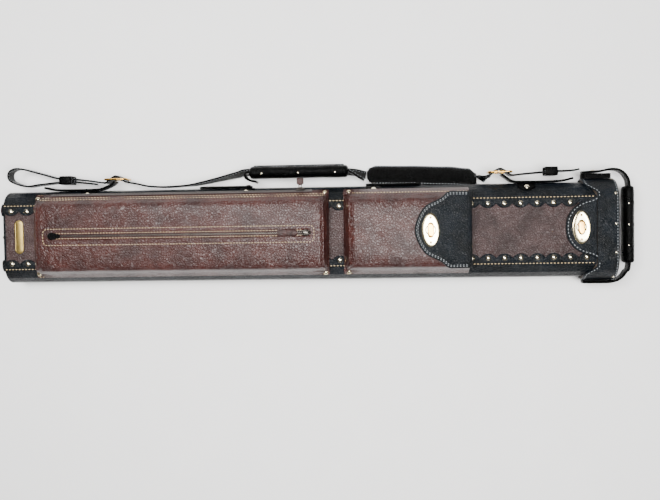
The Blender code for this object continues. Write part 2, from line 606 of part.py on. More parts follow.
def make_pad():
    """The shoulder pad leans on the case: its far edge low, its near edge against the case."""
    stations = []
    across = Vector((math.sin(PAD_LEAN), -math.cos(PAD_LEAN)))
    out = Vector((math.cos(PAD_LEAN), math.sin(PAD_LEAN))) * 0.0032
    for x, share, rise in ((0.0895, 0.375, 0.0170), (0.0935, 0.78, 0.0168), (0.102, 1, 0.0165),
                           (0.150, 1, 0.0155), (0.205, 1, 0.0135), (0.236, 0.9375, 0.0112),
                           (0.2465, 0.5625, 0.0090)):
        middle = Vector((SIDE_Y + rise, STRAP_LOW_Z + 0.0014))
        ring = [middle + across * (PAD_HALF * share * a) + out * b for a, b in
                ((-1, -0.5), (-0.9, -1), (0.9, -1), (1, -0.5), (1, 0.5), (0.9, 1), (-0.9, 1), (-1, 0.5))]
        stations.append((x, [tuple(p) for p in ring]))
    keep("shoulder_pad", loft(stations), "black_leather")


def make_buckle(name, x):
    """A flat frame with a centre bar, in the strap's plane."""
    y = SIDE_Y + 0.0162
    frame = keep("buckle_" + name, block((x - 0.017, x + 0.017), (y - 0.0015, y + 0.0015),
                                         (MID_Z - 0.0145, MID_Z + 0.0145)), "brass")
    for k, (low, high) in enumerate(((x - 0.0135, x - 0.0013), (x + 0.0013, x + 0.0135))):
        hole = block((low, high), (y - 0.01, y + 0.01), (MID_Z - 0.0112, MID_Z + 0.0112))
        cut(frame, hole, f"buckle_{name}_hole_{k}")


def make_keeper(name, x):
    wall = 0.0015
    inner = ((SIDE_Y + 0.0114, SIDE_Y + 0.0208), (MID_Z - 0.0105, MID_Z + 0.0105))
    outer = [(low - wall, high + wall) for low, high in inner]
    loop = keep("keeper_" + name, block((x - 0.0088, x + 0.0088), *outer), "black_leather")
    cut(loop, block((x - 0.02, x + 0.02), *inner), "keeper_hole_" + name)


# ---------------------------------------------------------------- scene
for old in list(bpy.data.objects):
    bpy.data.objects.remove(old)
parts = bpy.data.collections.new("cue_case")
cutters = bpy.data.collections.new("cutters")
bpy.context.scene.collection.children.link(parts)
bpy.context.scene.collection.children.link(cutters)
make_body()
make_pockets()
make_zips()
make_flaps()
make_lid()
make_carry_handle()
make_shoulder_strap()
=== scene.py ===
"""Looks of a leather-covered cue case: two butts and four shafts, lying on its back.

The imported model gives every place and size: +X runs to the lid, +Y to the carrying handle and
+Z out of the front. Lengths are in metres.
"""

from __future__ import annotations

import logging
import math
from dataclasses import dataclass
from enum import Enum
from functools import lru_cache
from typing import Callable, Iterable, Sequence

import bmesh
import bpy
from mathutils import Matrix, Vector, noise


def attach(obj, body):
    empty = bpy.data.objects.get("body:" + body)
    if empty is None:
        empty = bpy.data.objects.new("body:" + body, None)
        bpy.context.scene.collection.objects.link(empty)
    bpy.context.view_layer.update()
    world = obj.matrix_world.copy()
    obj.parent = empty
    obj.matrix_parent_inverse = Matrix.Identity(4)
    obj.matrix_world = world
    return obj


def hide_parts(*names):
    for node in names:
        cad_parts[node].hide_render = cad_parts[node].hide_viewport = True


LOG = logging.getLogger("cue_case")
MM = 0.001
CASE = "case"
LID = "lid"
Grid = list[list[Vector]]
Profile = Sequence[tuple[float, float]]


# ---------------------------------------------------------------- materials
class Slot(Enum):
    """The record's material slots."""

    BLACK = "black_leather"
    BROWN = "brown_leather"
    BRASS = "brass"
    GUNMETAL = "gunmetal"
    PLASTIC = "plastic"
    FOAM = "foam"
    BOARD = "board"


def linear(colour: str) -> tuple[float, float, float, float]:
    """Turns an sRGB hex colour into linear RGBA.

    Args:
        colour: Six hex digits, with or without a leading #.

    Returns:
        Red, green, blue and alpha, each from 0 to 1.
    """
    digits = colour.lstrip("#")
    shares = [int(digits[i:i + 2], 16) / 255 for i in (0, 2, 4)]
    red, green, blue = (c / 12.92 if c <= 0.04045 else ((c + 0.055) / 1.055) ** 2.4 for c in shares)
    return red, green, blue, 1.0


def add_node(tree: bpy.types.NodeTree, kind: str, inputs: dict | None = None, **settings) -> bpy.types.Node:
    """Adds a node with its settings and links.

    Args:
        tree: The node tree.
        kind: The node's type, such as ShaderNodeBump.
        inputs: Socket name or number to a value, or to another node's output socket.
        **settings: Properties of the node itself.

    Returns:
        The new node.
    """
    node = tree.nodes.new(kind)
    for name, value in settings.items():
        setattr(node, name, value)
    for name, value in (inputs or {}).items():
        if isinstance(value, bpy.types.NodeSocket):
            tree.links.new(value, node.inputs[name])
        else:
            node.inputs[name].default_value = value
    return node


def blank_material(name: str) -> tuple[bpy.types.Material, bpy.types.NodeTree, bpy.types.Node]:
    """Makes a material that holds only its shader and output.

    Args:
        name: The material's name.

    Returns:
        The material, its tree and its Principled shader.
    """
    material = bpy.data.materials.new(name)
    material.use_nodes = True
    tree = material.node_tree
    return material, tree, tree.nodes["Principled BSDF"]


@dataclass(frozen=True)
class Leather:
    """Drum-dyed cowhide with a pressed grain and a sprayed topcoat.

    The grain is a net of fine creases round small pebbles, the dye gathers in the creases, and
    the topcoat gives a broad shine that breaks up where the hide was stretched.
    """

    name: str
    slot: Slot
    colour: str  # the dye in the creases
    light: str  # where the dye is thin, on the pebbles and the stretched places
    grain_mm: float  # one pebble
    depth_mm: float  # how deep the creases are
    roughness: float
    coat: float
    mottle_mm: float  # one patch of uneven dye
    shine: float  # specular level: low for waxed black, high for glazed hide

    @lru_cache(maxsize=None)
    def material(self) -> bpy.types.Material:
        """Builds the material once."""
        material, tree, shader = blank_material(self.name)
        place = add_node(tree, "ShaderNodeTexCoord").outputs["Object"]
        patches = add_node(tree, "ShaderNodeTexNoise", {"Vector": place, "Scale": 1 / (self.mottle_mm * MM),
            "Detail": 6.0, "Roughness": 0.62})
        warp = add_node(tree, "ShaderNodeTexNoise", {"Vector": place, "Scale": 0.3 / (self.grain_mm * MM)})
        bent = add_node(tree, "ShaderNodeVectorMath", {0: warp.outputs["Color"],
            1: (self.grain_mm * MM * 0.8,) * 3, 2: place}, operation="MULTIPLY_ADD")
        pebbles = add_node(tree, "ShaderNodeTexVoronoi", {"Vector": bent.outputs["Vector"], "Scale": 1
            / (self.grain_mm * MM)}, feature="DISTANCE_TO_EDGE")
        domes = add_node(tree, "ShaderNodeMapRange", {"Value": pebbles.outputs["Distance"], "From Max": 0.22})
        domes.interpolation_type = "SMOOTHSTEP"
        tone = add_node(tree, "ShaderNodeMapRange", {"Value": patches.outputs["Fac"], "From Min": 0.36,
            "From Max": 0.68})
        raised = add_node(tree, "ShaderNodeMath", {0: domes.outputs["Result"], 1: 0.35, 2: 0.65},
            operation="MULTIPLY_ADD")
        share = add_node(tree, "ShaderNodeMath", {0: tone.outputs["Result"], 1: raised.outputs["Value"]},
            operation="MULTIPLY")
        dye = add_node(tree, "ShaderNodeMix", {"Factor": share.outputs["Value"]}, data_type="RGBA")
        # A Mix node's colour sockets are the third pair, so they are set by number.
        dye.inputs[6].default_value = linear(self.colour)
        dye.inputs[7].default_value = linear(self.light)
        tree.links.new(dye.outputs[2], shader.inputs["Base Color"])
        dull = add_node(tree, "ShaderNodeMapRange", {"Value": patches.outputs["Fac"], "From Min": 0.3,
            "From Max": 0.7, "To Min": self.roughness + 0.07, "To Max": self.roughness - 0.06})
        tree.links.new(dull.outputs["Result"], shader.inputs["Roughness"])
        creases = add_node(tree, "ShaderNodeTexNoise", {"Vector": bent.outputs["Vector"], "Detail": 7.0,
            "Scale": 1 / (self.grain_mm * 2.2 * MM), "Roughness": 0.62, "Distortion": 0.7})
        broad = add_node(tree, "ShaderNodeBump", {"Height": creases.outputs["Fac"], "Strength": 0.9,
            "Distance": self.depth_mm * 2.6 * MM})
        bump = add_node(tree, "ShaderNodeBump", {"Height": domes.outputs["Result"],
            "Normal": broad.outputs["Normal"], "Strength": 0.7, "Distance": self.depth_mm * MM})
        tree.links.new(bump.outputs["Normal"], shader.inputs["Normal"])
        shader.inputs["Coat Weight"].default_value = self.coat
        shader.inputs["Coat Roughness"].default_value = 0.22
        shader.inputs["Specular IOR Level"].default_value = self.shine
        return material


@dataclass(frozen=True)
class Metal:
    """Plated or polished metal: clear reflections, softened by fine rubbing marks."""

    name: str
    slot: Slot
    colour: str
    worn: str  # where the plating is rubbed
    roughness: float
    grit_mm: float  # spacing of the rubbing marks

    @lru_cache(maxsize=None)
    def material(self) -> bpy.types.Material:
        """Builds the material once."""
        material, tree, shader = blank_material(self.name)
        place = add_node(tree, "ShaderNodeTexCoord").outputs["Object"]
        stretched = add_node(tree, "ShaderNodeMapping", {"Vector": place, "Scale": (1.0, 0.25, 1.0)})
        marks = add_node(tree, "ShaderNodeTexNoise", {"Vector": stretched.outputs["Vector"], "Scale": 1
            / (self.grit_mm * MM), "Detail": 5.0})
        rubbed = add_node(tree, "ShaderNodeTexNoise", {"Vector": place, "Scale": 1 / (7 * MM), "Detail": 3.0})
        mix = add_node(tree, "ShaderNodeMix", {"Factor": rubbed.outputs["Fac"]}, data_type="RGBA")
        mix.inputs[6].default_value = linear(self.colour)
        mix.inputs[7].default_value = linear(self.worn)
        tree.links.new(mix.outputs[2], shader.inputs["Base Color"])
        shader.inputs["Metallic"].default_value = 1.0
        dull = add_node(tree, "ShaderNodeMapRange", {"Value": marks.outputs["Fac"], "To Min": self.roughness
            - 0.06, "To Max": self.roughness + 0.08})
        tree.links.new(dull.outputs["Result"], shader.inputs["Roughness"])
        bump = add_node(tree, "ShaderNodeBump", {"Height": marks.outputs["Fac"], "Strength": 0.12,
            "Distance": 0.05 * MM})
        tree.links.new(bump.outputs["Normal"], shader.inputs["Normal"])
        return material


@dataclass(frozen=True)
class Plain:
    """A dull moulded, foamed, pressed or spun surface: one colour broken up by its own texture."""

    name: str
    slot: Slot
    colour: str
    light: str
    roughness: float
    grain_mm: float
    depth_mm: float
    sheen: float = 0.0

    @lru_cache(maxsize=None)
    def material(self) -> bpy.types.Material:
        """Builds the material once."""
        material, tree, shader = blank_material(self.name)
        place = add_node(tree, "ShaderNodeTexCoord").outputs["Object"]
        grain = add_node(tree, "ShaderNodeTexNoise", {"Vector": place, "Scale": 1 / (self.grain_mm * MM),
            "Detail": 4.0})
        mix = add_node(tree, "ShaderNodeMix", {"Factor": grain.outputs["Fac"]}, data_type="RGBA")
        mix.inputs[6].default_value = linear(self.colour)
        mix.inputs[7].default_value = linear(self.light)
        tree.links.new(mix.outputs[2], shader.inputs["Base Color"])
        bump = add_node(tree, "ShaderNodeBump", {"Height": grain.outputs["Fac"], "Strength": 0.6,
            "Distance": self.depth_mm * MM})
        tree.links.new(bump.outputs["Normal"], shader.inputs["Normal"])
        shader.inputs["Roughness"].default_value = self.roughness
        shader.inputs["Sheen Weight"].default_value = self.sheen
        return material


# Chrome-tanned black cowhide, drum dyed: the sheen of its wax finish turns it slate grey in the light.
BLACK = Leather("black_cowhide", Slot.BLACK, "#020507", "#0a121a", 3.0, 0.75, 0.38, 0.0, 30, 0.2)
# The same hide skived thin for straps and grips: smoother, so its highlights are tighter.
STRAP = Leather("black_strap_leather", Slot.BLACK, "#010101", "#020303", 1.8, 0.3, 0.3, 0.0, 16, 0.05)
# Mahogany cowhide with a glazed finish: deep red in the hollows and a broad pink shine on top.
GLAZED = Leather("mahogany_glazed_cowhide", Slot.BROWN, "#260a07", "#431f1a", 3.6, 0.7, 0.33, 0.06, 30, 0.42)
# Brown hide without the glaze, pressed with a finer grain: dull and a little grey.
MATT_BROWN = Leather("brown_pressed_cowhide", Slot.BROWN, "#241413", "#43302f", 3.0, 0.75, 0.44, 0.0, 26,
    0.44)
# Brown hide skived thin and folded: the zip pulls.
PULL_BROWN = Leather("brown_folded_leather", Slot.BROWN, "#1c0b09", "#3a1d19", 1.6, 0.2, 0.42, 0.0, 9, 0.3)
# Polished brass with a thin nickel flash: pale gold.
BRASS = Metal("nickel_flashed_brass", Slot.BRASS, "#e8d5a0", "#f6ebcd", 0.2, 0.4)
# The turned parts of the locks and the buckles: plain brass, a deeper gold.
GOLD = Metal("turned_brass", Slot.BRASS, "#c98f33", "#e2b867", 0.18, 0.4)
# The name plate: brass left to go brown, rubbed bright on its rim.
OLD_BRASS = Metal("browned_brass", Slot.BRASS, "#8a7440", "#b9a164", 0.34, 0.6)
# Nickel-plated steel domes: paler than the locks.
NICKEL = Metal("nickel_plated_steel", Slot.BRASS, "#dccfae", "#f2ead6", 0.16, 0.5)
# Die-cast zinc with a black nickel plate.
GUNMETAL = Metal("black_nickel_zinc", Slot.GUNMETAL, "#3d3a38", "#6d6862", 0.3, 0.4)
# Bonded polyester thread, twisted: a dull tan with a slight sheen.
THREAD = Plain("tan_bonded_thread", Slot.BROWN, "#b89c72", "#e0cba2", 0.7, 0.5, 0.1, 0.3)
# The same thread in grey, on the black hide.
GREY_THREAD = Plain("grey_bonded_thread", Slot.BLACK, "#6f7478", "#a3a8ab", 0.7, 0.5, 0.1, 0.3)
# Woven nylon zip tape: nearly black.
TAPE = Plain("nylon_zip_tape", Slot.GUNMETAL, "#160b0a", "#2a1512", 0.85, 0.6, 0.15, 0.2)
# Injection-moulded styrene tubes.
STYRENE = Plain("moulded_styrene", Slot.PLASTIC, "#121315", "#1b1c1f", 0.42, 0.8, 0.03)
# Flocked open-cell foam.
FLOCK = Plain("flocked_foam", Slot.FOAM, "#1b1c20", "#2b2c31", 0.95, 1.0, 0.3, 0.6)
# Vulcanised fibre board, rolled into the tube.
FIBRE = Plain("rolled_fibre_board", Slot.BOARD, "#2a2119", "#382d22", 0.75, 2.0, 0.1)
Finish = Leather | Metal | Plain


# ---------------------------------------------------------------- the case's own sizes
@dataclass(frozen=True)
class Section:
    """The body's section: two flats joined by half circles, the same all along X."""

    radius: float = 0.028  # of the half circles, over the leather
    flat: float = 0.038  # half length of the flats
    middle: float = 0.0325  # height of the section's centre

    @property
    def front(self) -> float:
        """Height of the front panel."""
        return self.middle + self.radius

    def at(self, s: float, lift: float = 0.0) -> tuple[Vector, Vector]:
        """Finds a point on the leather.

        Args:
            s: Distance round the section from the middle of the front, positive towards the handle.
            lift: Height over the leather.

        Returns:
            The point, at X = 0, and the outward normal.
        """
        side = math.copysign(1, s)
        if abs(s) <= self.flat:
            return Vector((0, s, self.front + lift)), Vector((0, 0, 1))
        turn = min((abs(s) - self.flat) / self.radius, math.pi)
        out = Vector((0, side * math.sin(turn), math.cos(turn)))
        return Vector((0, side * self.flat, self.middle)) + out * (self.radius + lift), out

    def around(self, y: float) -> float:
        """Turns a sideways distance seen from the front into the distance round the section."""
        beyond = min(max((abs(y) - self.flat) / self.radius, 0), 1)
        return math.copysign(min(abs(y), self.flat) + self.radius * math.asin(beyond), y)


SECTION = Section()
BASE_X = -0.432  # outer face of the base cap
LID_FRONT_X = 0.403
LID_END_X = 0.433
LID_SHELL_X = 0.4293
TRIM_LIFT = 0.0013  # the trims' outer face over the leather
POCKET_LIFT = 0.0016  # the pockets' base over the leather
LONG_POCKET = (-0.3837, 0.0362)
SMALL_POCKET = (0.0572, 0.229)
STUD_ROW = 0.0372  # half distance between the two rows of studs
STUD_PITCH = 0.0223


# ---------------------------------------------------------------- mesh helpers
def ease(t: float) -> float:
    """Rises smoothly from 0 to 1."""
    t = min(max(t, 0.0), 1.0)
    return t * t * (3 - 2 * t)


def table(stops: Sequence[tuple[float, float]], t: float) -> float:
    """Reads a smooth curve through a few stops.

    Args:
        stops: (place, value) pairs in rising order.
        t: The place to read.

    Returns:
        The value there, held level outside the stops.
    """
    if t <= stops[0][0]:
        return stops[0][1]
    for (a, low), (b, high) in zip(stops, stops[1:]):
        if t <= b:
            return low + (high - low) * ease((t - a) / (b - a))
    return stops[-1][1]


def finish_piece(piece: bpy.types.Object, finish: Finish, body: str, smooth: float = 40) -> bpy.types.Object:
    """Dresses a piece and ties it to its body.

    Args:
        piece: The new piece.
        finish: Its finish.
        body: The CAD body it rides on.
        smooth: Edges sharper than this many degrees stay sharp.

    Returns:
        The same piece.
    """
    if not piece.data.materials:
        piece.data.materials.append(finish.material())
    if isinstance(piece.data, bpy.types.Mesh):
        piece.data.shade_smooth()
        piece.data.set_sharp_from_angle(angle=math.radians(smooth))
    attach(piece, body)
    LOG.info("%s rides on %s, %s", piece.name, body, finish.name)
    return piece


def piece_from(name: str, work: bmesh.types.BMesh, finish: Finish, body: str, smooth: float = 40,
        bevel: float = 0.0, subdivide: int = 0) -> bpy.types.Object:
    """Turns a bmesh into a dressed piece.

    Args:
        name: The piece's name.
        work: Its mesh, which is freed.
        finish: Its finish.
        body: The CAD body it rides on.
        smooth: Edges sharper than this many degrees stay sharp.
        bevel: Rounding of its edges, or 0 for none.
        subdivide: Levels of subdivision.

    Returns:
        The piece.
    """
    mesh = bpy.data.meshes.new(name)
    work.to_mesh(mesh)
    work.free()
    piece = bpy.data.objects.new(name, mesh)
    bpy.context.scene.collection.objects.link(piece)
    if bevel:
        rounding = piece.modifiers.new("Edge rounding", "BEVEL")
        rounding.width = bevel
        rounding.segments = 3
        rounding.limit_method = "ANGLE"
        rounding.angle_limit = math.radians(35)
        rounding.harden_normals = False
    if subdivide:
        finer = piece.modifiers.new("Subdivision", "SUBSURF")
        finer.levels = finer.render_levels = subdivide
    return finish_piece(piece, finish, body, smooth)


def face_outwards(work: bmesh.types.BMesh) -> bmesh.types.BMesh:
    """Turns every face of a closed mesh outwards and returns the mesh."""
    bmesh.ops.recalc_face_normals(work, faces=work.faces)
    return work


def lofted(rows: Iterable[Sequence[Vector]], closed_rows: bool = False, capped: bool = False,
        work: bmesh.types.BMesh | None = None, close_loft: bool = False) -> bmesh.types.BMesh:
    """Joins rows of points by quads.

    Args:
        rows: Rows of the same number of points.
        closed_rows: Whether each row is a ring.
        capped: Whether the first and last rings are closed by a face.
        work: A mesh to add to, or None for a new one.
        close_loft: Whether the last row joins the first.

    Returns:
        The mesh.
    """
    work = work or bmesh.new()
    made = [[work.verts.new(p) for p in row] for row in rows]
    pairs = list(zip(made, made[1:])) + ([(made[-1], made[0])] if close_loft else [])
    for first, second in pairs:
        count = len(first)
        for i in range(count if closed_rows else count - 1):
            j = (i + 1) % count
            work.faces.new((first[i], first[j], second[j], second[i]))
    if capped:
        work.faces.new(list(reversed(made[0])))
        work.faces.new(made[-1])
    return work


def closed_skin(rows: Grid) -> bmesh.types.BMesh:
    """Lofts closed rings and caps both ends, with every face turned outwards."""
    return face_outwards(lofted(rows, closed_rows=True, capped=True))


def turned(profile: Profile, place: Vector, axis: Vector, sides: int = 28,
        work: bmesh.types.BMesh | None = None) -> bmesh.types.BMesh:
    """Turns a profile of (radius, height) round an axis, as a lathe does.

    Args:
        profile: (radius, height) points from the middle of one end to the middle of the other.
        place: Where height 0 is.
        axis: Direction of the heights.
        sides: Number of sides.
        work: A mesh to add to, or None for a new one.

    Returns:
        The mesh.
    """
    work = work or bmesh.new()
    turn = axis.to_track_quat("Z", "Y").to_matrix()
    rings: list[list[bmesh.types.BMVert]] = []
    for radius, height in profile:
        if radius < 1e-7:
            rings.append([work.verts.new(place + turn @ Vector((0, 0, height)))])
        else:
            rings.append([work.verts.new(place + turn @ Vector((radius * math.cos(a), radius * math.sin(a),
                height))) for a in (2 * math.pi * i / sides for i in range(sides))])
    for low, high in zip(rings, rings[1:]):
        for i in range(sides):
            j = (i + 1) % sides
            corners = [low[i % len(low)], low[j % len(low)], high[j % len(high)], high[i % len(high)]]
            unique = [v for k, v in enumerate(corners) if v not in corners[:k]]
            if len(unique) > 2:
                work.faces.new(unique)
    return work


def oval(centre: tuple[float, float], size: tuple[float, float], steps: int = 56,
        power: float = 2.0) -> list[tuple[float, float]]:
    """Lists points round an oval, which a power above 2 makes squarer."""
    points = []
    for i in range(steps):
        t = 2 * math.pi * i / steps
        c, s = math.cos(t), math.sin(t)
        points.append((centre[0] + size[0] / 2 * math.copysign(abs(c) ** (2 / power), c), centre[1]
            + size[1] / 2 * math.copysign(abs(s) ** (2 / power), s)))
    return points


def curve_through(points: Sequence[Sequence[float]], steps: int = 8, closed: bool = False) -> list[Vector]:
    """Draws a smooth curve through points.

    Args:
        points: Points of any one size.
        steps: Points made for each stretch.
        closed: Whether the curve joins its start.

    Returns:
        The curve's points.
    """
    stops = [Vector(p) for p in points]
    if closed:
        ends = [stops[-1]] + stops + [stops[0], stops[1]]
    else:
        ends = [2 * stops[0] - stops[1]] + stops + [2 * stops[-1] - stops[-2]]
    path = []
    for a, b, c, d in zip(ends, ends[1:], ends[2:], ends[3:]):
        for i in range(steps):
            t = i / steps
            path.append(0.5 * (2 * b + (c - a) * t + (2 * a - 5 * b + 4 * c - d) * t ** 2
                + (3 * b - a - 3 * c + d) * t ** 3))
    return path if closed else path + [stops[-1]]


def evenly(path: Sequence[Vector], step: float, closed: bool = False) -> list[tuple[Vector, Vector]]:
    """Walks a path in even steps.

    Args:
        path: The path's points.
        step: Wanted length of a step.
        closed: Whether the path joins its start.

    Returns:
        (point, direction) pairs in the middle of each step.
    """
    points = list(path) + ([path[0]] if closed else [])
    lengths = [(b - a).length for a, b in zip(points, points[1:])]
    total = sum(lengths)
    count = max(int(round(total / step)), 1)
    marks = []
    k, passed = 0, 0.0
    for i in range(count):
        want = (i + 0.5) * total / count
        while k < len(lengths) - 1 and passed + lengths[k] < want:
            passed += lengths[k]
            k += 1
        way = points[k + 1] - points[k]
        marks.append((points[k] + way * ((want - passed) / max(lengths[k], 1e-9)), way.normalized()))
    return marks


def ribbon_rows(path: Sequence[Vector], leans: Sequence[float], width: float, thickness: float,
        crown: float = 0.0, taper: Callable[[float], float] | None = None) -> Grid:
    """Lists the rings of a flat strap whose width turns from Z towards Y.

    Args:
        path: Points along its middle.
        leans: Angle at each point, from Z towards Y.
        width: Its width.
        thickness: Its thickness at the edges.
        crown: How much thicker it is in the middle.
        taper: Share of the width at each share of the length, or None for all of it.

    Returns:
        Rings of points.
    """
    rows = []
    corner = thickness * 0.3
    for i, (here, lean) in enumerate(zip(path, leans)):
        way = (path[min(i + 1, len(path) - 1)] - path[max(i - 1, 0)]).normalized()
        across = Vector((0, math.sin(lean), math.cos(lean)))
        across = (across - way * across.dot(way)).normalized()
        out = across.cross(way).normalized()
        share = taper(i / (len(path) - 1)) if taper else 1.0
        half, deep = width / 2 * share, thickness / 2
        ring = []
        for u, v in ((-half, -deep + corner), (-half + corner, -deep), (-half * 0.4, -deep),
                (half * 0.4, -deep), (half - corner, -deep), (half, -deep + corner), (half, deep - corner),
                (half - corner, deep), (half * 0.5, deep + crown * 0.75), (0, deep + crown),
                (-half * 0.5, deep + crown * 0.75), (-half + corner, deep), (-half, deep - corner)):
            ring.append(here + across * u + out * v)
        rows.append(ring)
    return rows


# ---------------------------------------------------------------- sewing and studs
@dataclass(frozen=True)
class Stitching:
    """A row of machine lockstitch: raised dashes of thread that sink at each needle hole."""

    pitch: float = 0.0042  # needle hole to needle hole
    share: float = 0.68  # of the pitch that shows as thread
    width: float = 0.0011
    height: float = 0.0005

    def sew(self, name: str, path: Sequence[Vector], normal: Callable[[Vector], Vector], thread: Plain,
            body: str, closed: bool = False) -> bpy.types.Object:
        """Sews along a path that lies on a surface.

        Args:
            name: The piece's name.
            path: Points on the surface.
            normal: Gives the surface's normal at a point.
            thread: The thread.
            body: The CAD body it rides on.
            closed: Whether the row joins its start.

        Returns:
            The row of stitches.
        """
        work = bmesh.new()
        self.add(work, path, normal, closed)
        return piece_from(name, work, thread, body, smooth=80)

    def add(self, work: bmesh.types.BMesh, path: Sequence[Vector], normal: Callable[[Vector], Vector],
            closed: bool = False) -> None:
        """Adds a row of stitches to a mesh; the arguments are those of sew."""
        for place, way in evenly(path, self.pitch, closed):
            up = normal(place)
            side = up.cross(way).normalized()
            reach = self.pitch * self.share / 2
            rows = []
            for along, size in ((-1.0, 0.25), (-0.72, 0.8), (0.0, 1.0), (0.72, 0.8), (1.0, 0.25)):
                middle = place + way * (along * reach) + up * (self.height * (size - 1.0) * 0.7)
                rows.append([middle + side * (self.width / 2 * size * u) + up * (self.height * size * v)
                    for u, v in ((-1, -0.35), (-0.8, 0.5), (0, 1), (0.8, 0.5), (1, -0.35))])
            lofted(rows, closed_rows=True, capped=True, work=work)


def upwards(_: Vector) -> Vector:
    """The normal of every flat front face."""
    return Vector((0, 0, 1))


def skin_normal(place: Vector) -> Vector:
    """The leather's outward normal at a place near it."""
    out = Vector((0, place.y - math.copysign(min(abs(place.y), SECTION.flat), place.y), place.z
        - SECTION.middle))
    return out.normalized() if out.length > 1e-6 else Vector((0, 0, 1))


def on_skin(x: float, s: float, lift: float) -> Vector:
    """A point at X, at distance s round the section, at a height over the leather."""
    place, _ = SECTION.at(s, lift)
    return Vector((x, place.y, place.z))


@dataclass(frozen=True)
class Stud:
    """A domed furniture nail: a pressed cap with a rolled rim, over the leather that it dents."""

    radius: float = 0.0034
    height: float = 0.0021

    def add(self, work: bmesh.types.BMesh, place: Vector, up: Vector) -> None:
        """Adds one stud.

        Args:
            work: The mesh that it is added to.
            place: The point on the leather under its middle.
            up: The leather's normal there.
        """
        rim = self.radius
        profile = [(0.0, -0.0002), (rim * 0.9, -0.0002), (rim * 1.06, 0.0001),
            (rim * 1.03, self.height * 0.2), (rim * 0.9, self.height * 0.3)]
        profile += [(rim * 0.9 * math.cos(t), self.height * (0.3 + 0.7 * math.sin(t)))
            for t in (math.radians(a) for a in (14, 30, 46, 62, 77))]
        profile.append((0.0, self.height))
        turned(profile, place, up, sides=24, work=work)

    def drive(self, name: str, places: Iterable[tuple[Vector, Vector]], body: str,
            finish: Metal = NICKEL) -> bpy.types.Object:
        """Drives a set of studs.

        Args:
            name: The piece's name.
            places: (place, normal) of each stud.
            body: The CAD body it rides on.
            finish: The studs' metal.

        Returns:
            All the studs as one piece.
        """
        work = bmesh.new()
        for place, up in places:
            self.add(work, place, up)
        return piece_from(name, face_outwards(work), finish, body, smooth=50)


# Both are a little coarser than real thread, so that single stitches show at this distance.
STITCH = Stitching(pitch=0.0048, share=0.55)
FINE_STITCH = Stitching(pitch=0.0042, share=0.55, width=0.0009, height=0.0004)
STUD = Stud()


# ---------------------------------------------------------------- camera, light and floor
@dataclass
class Studio:
    """A white table under three large soft lamps, and the camera above it."""

    camera_place: tuple[float, float, float] = (0.1085, 0.0141, 1.1687)
    camera_turn: tuple[float, float, float] = (-0.0347, 0.0637, -0.0157)
    lens: float = 43.38
    floor_half: float = 2.6
    floor_drop: float = 0.0004

    def build(self) -> None:
        """Makes the camera, the lamps and the floor."""
        self.make_camera()
        self.make_floor()
        self.make_lamp("overhead_lamp", (0.05, 0.1, 1.85), (1.9, 0.5), 108.0, (1.0, 0.99, 0.975))
        self.make_lamp("window_lamp", (-0.45, 1.25, 1.05), (1.2, 0.12), 2.5, (1.0, 0.99, 0.97))
        self.make_lamp("fill_lamp", (0.35, -1.35, 1.15), (1.6, 0.1), 0.8, (0.93, 0.965, 1.0))
        world = bpy.data.worlds.new("white_studio")
        bpy.context.scene.world = world
        world.use_nodes = True
        sky = world.node_tree.nodes["Background"]
        sky.inputs["Color"].default_value = linear("#f4f6fa")
        sky.inputs["Strength"].default_value = 0.07

    def make_camera(self) -> None:
        """Makes the scene's camera."""
        camera = bpy.data.cameras.new("camera")
        camera.lens = self.lens
        camera.sensor_width = 36.0
        camera.clip_start = 0.01
        holder = bpy.data.objects.new("camera", camera)
        holder.location = self.camera_place
        holder.rotation_euler = self.camera_turn
        bpy.context.scene.collection.objects.link(holder)
        bpy.context.scene.camera = holder

    def make_floor(self) -> None:
        """Makes the table: a white sheet that curves up far behind the case."""
        half, drop = self.floor_half, self.floor_drop
        sweep = [(-half, -drop), (half * 0.55, -drop)]
        sweep += [(half * 0.55 + 0.6 * math.sin(t), -drop + 0.6 * (1 - math.cos(t)))
            for t in (math.radians(15 * i) for i in range(1, 7))]
        rows = [[Vector((x, y, z)) for x in (-half * 1.4, half * 1.4)] for y, z in sweep]
        mesh = bpy.data.meshes.new("table")
        work = lofted(rows)
        bmesh.ops.reverse_faces(work, faces=work.faces)
        work.to_mesh(mesh)
        work.free()
        table_top = bpy.data.objects.new("table", mesh)
        bpy.context.scene.collection.objects.link(table_top)
        mesh.shade_smooth()
        # Matt laminate, sprayed white: almost no shine, with a faint unevenness of the spray.
        material, tree, shader = blank_material("matt_white_laminate")
        place = add_node(tree, "ShaderNodeTexCoord").outputs["Object"]
        spray = add_node(tree, "ShaderNodeTexNoise", {"Vector": place, "Scale": 1 / (60 * MM)})
        mix = add_node(tree, "ShaderNodeMix", {"Factor": spray.outputs["Fac"]}, data_type="RGBA")
        mix.inputs[6].default_value = linear("#f6f6f6")
        mix.inputs[7].default_value = linear("#fbfbfb")
        tree.links.new(mix.outputs[2], shader.inputs["Base Color"])
        shader.inputs["Roughness"].default_value = 0.8
        mesh.materials.append(material)

    def make_lamp(self, name: str, place: tuple[float, float, float], size: tuple[float, float],
            power: float, colour: tuple[float, float, float]) -> None:
        """Makes one soft lamp that faces the case.

        Args:
            name: The lamp's name.
            place: Where it hangs.
            size: Its width and height.
            power: Its power in watts.
            colour: Its linear colour.
        """
        light = bpy.data.lights.new(name, "AREA")
        light.shape = "RECTANGLE"
        light.size, light.size_y = size
        light.energy = power
        light.color = colour
        lamp = bpy.data.objects.new(name, light)
        lamp.location = place
        lamp.rotation_euler = (-Vector(place)).to_track_quat("-Z", "Y").to_euler()
        bpy.context.scene.collection.objects.link(lamp)


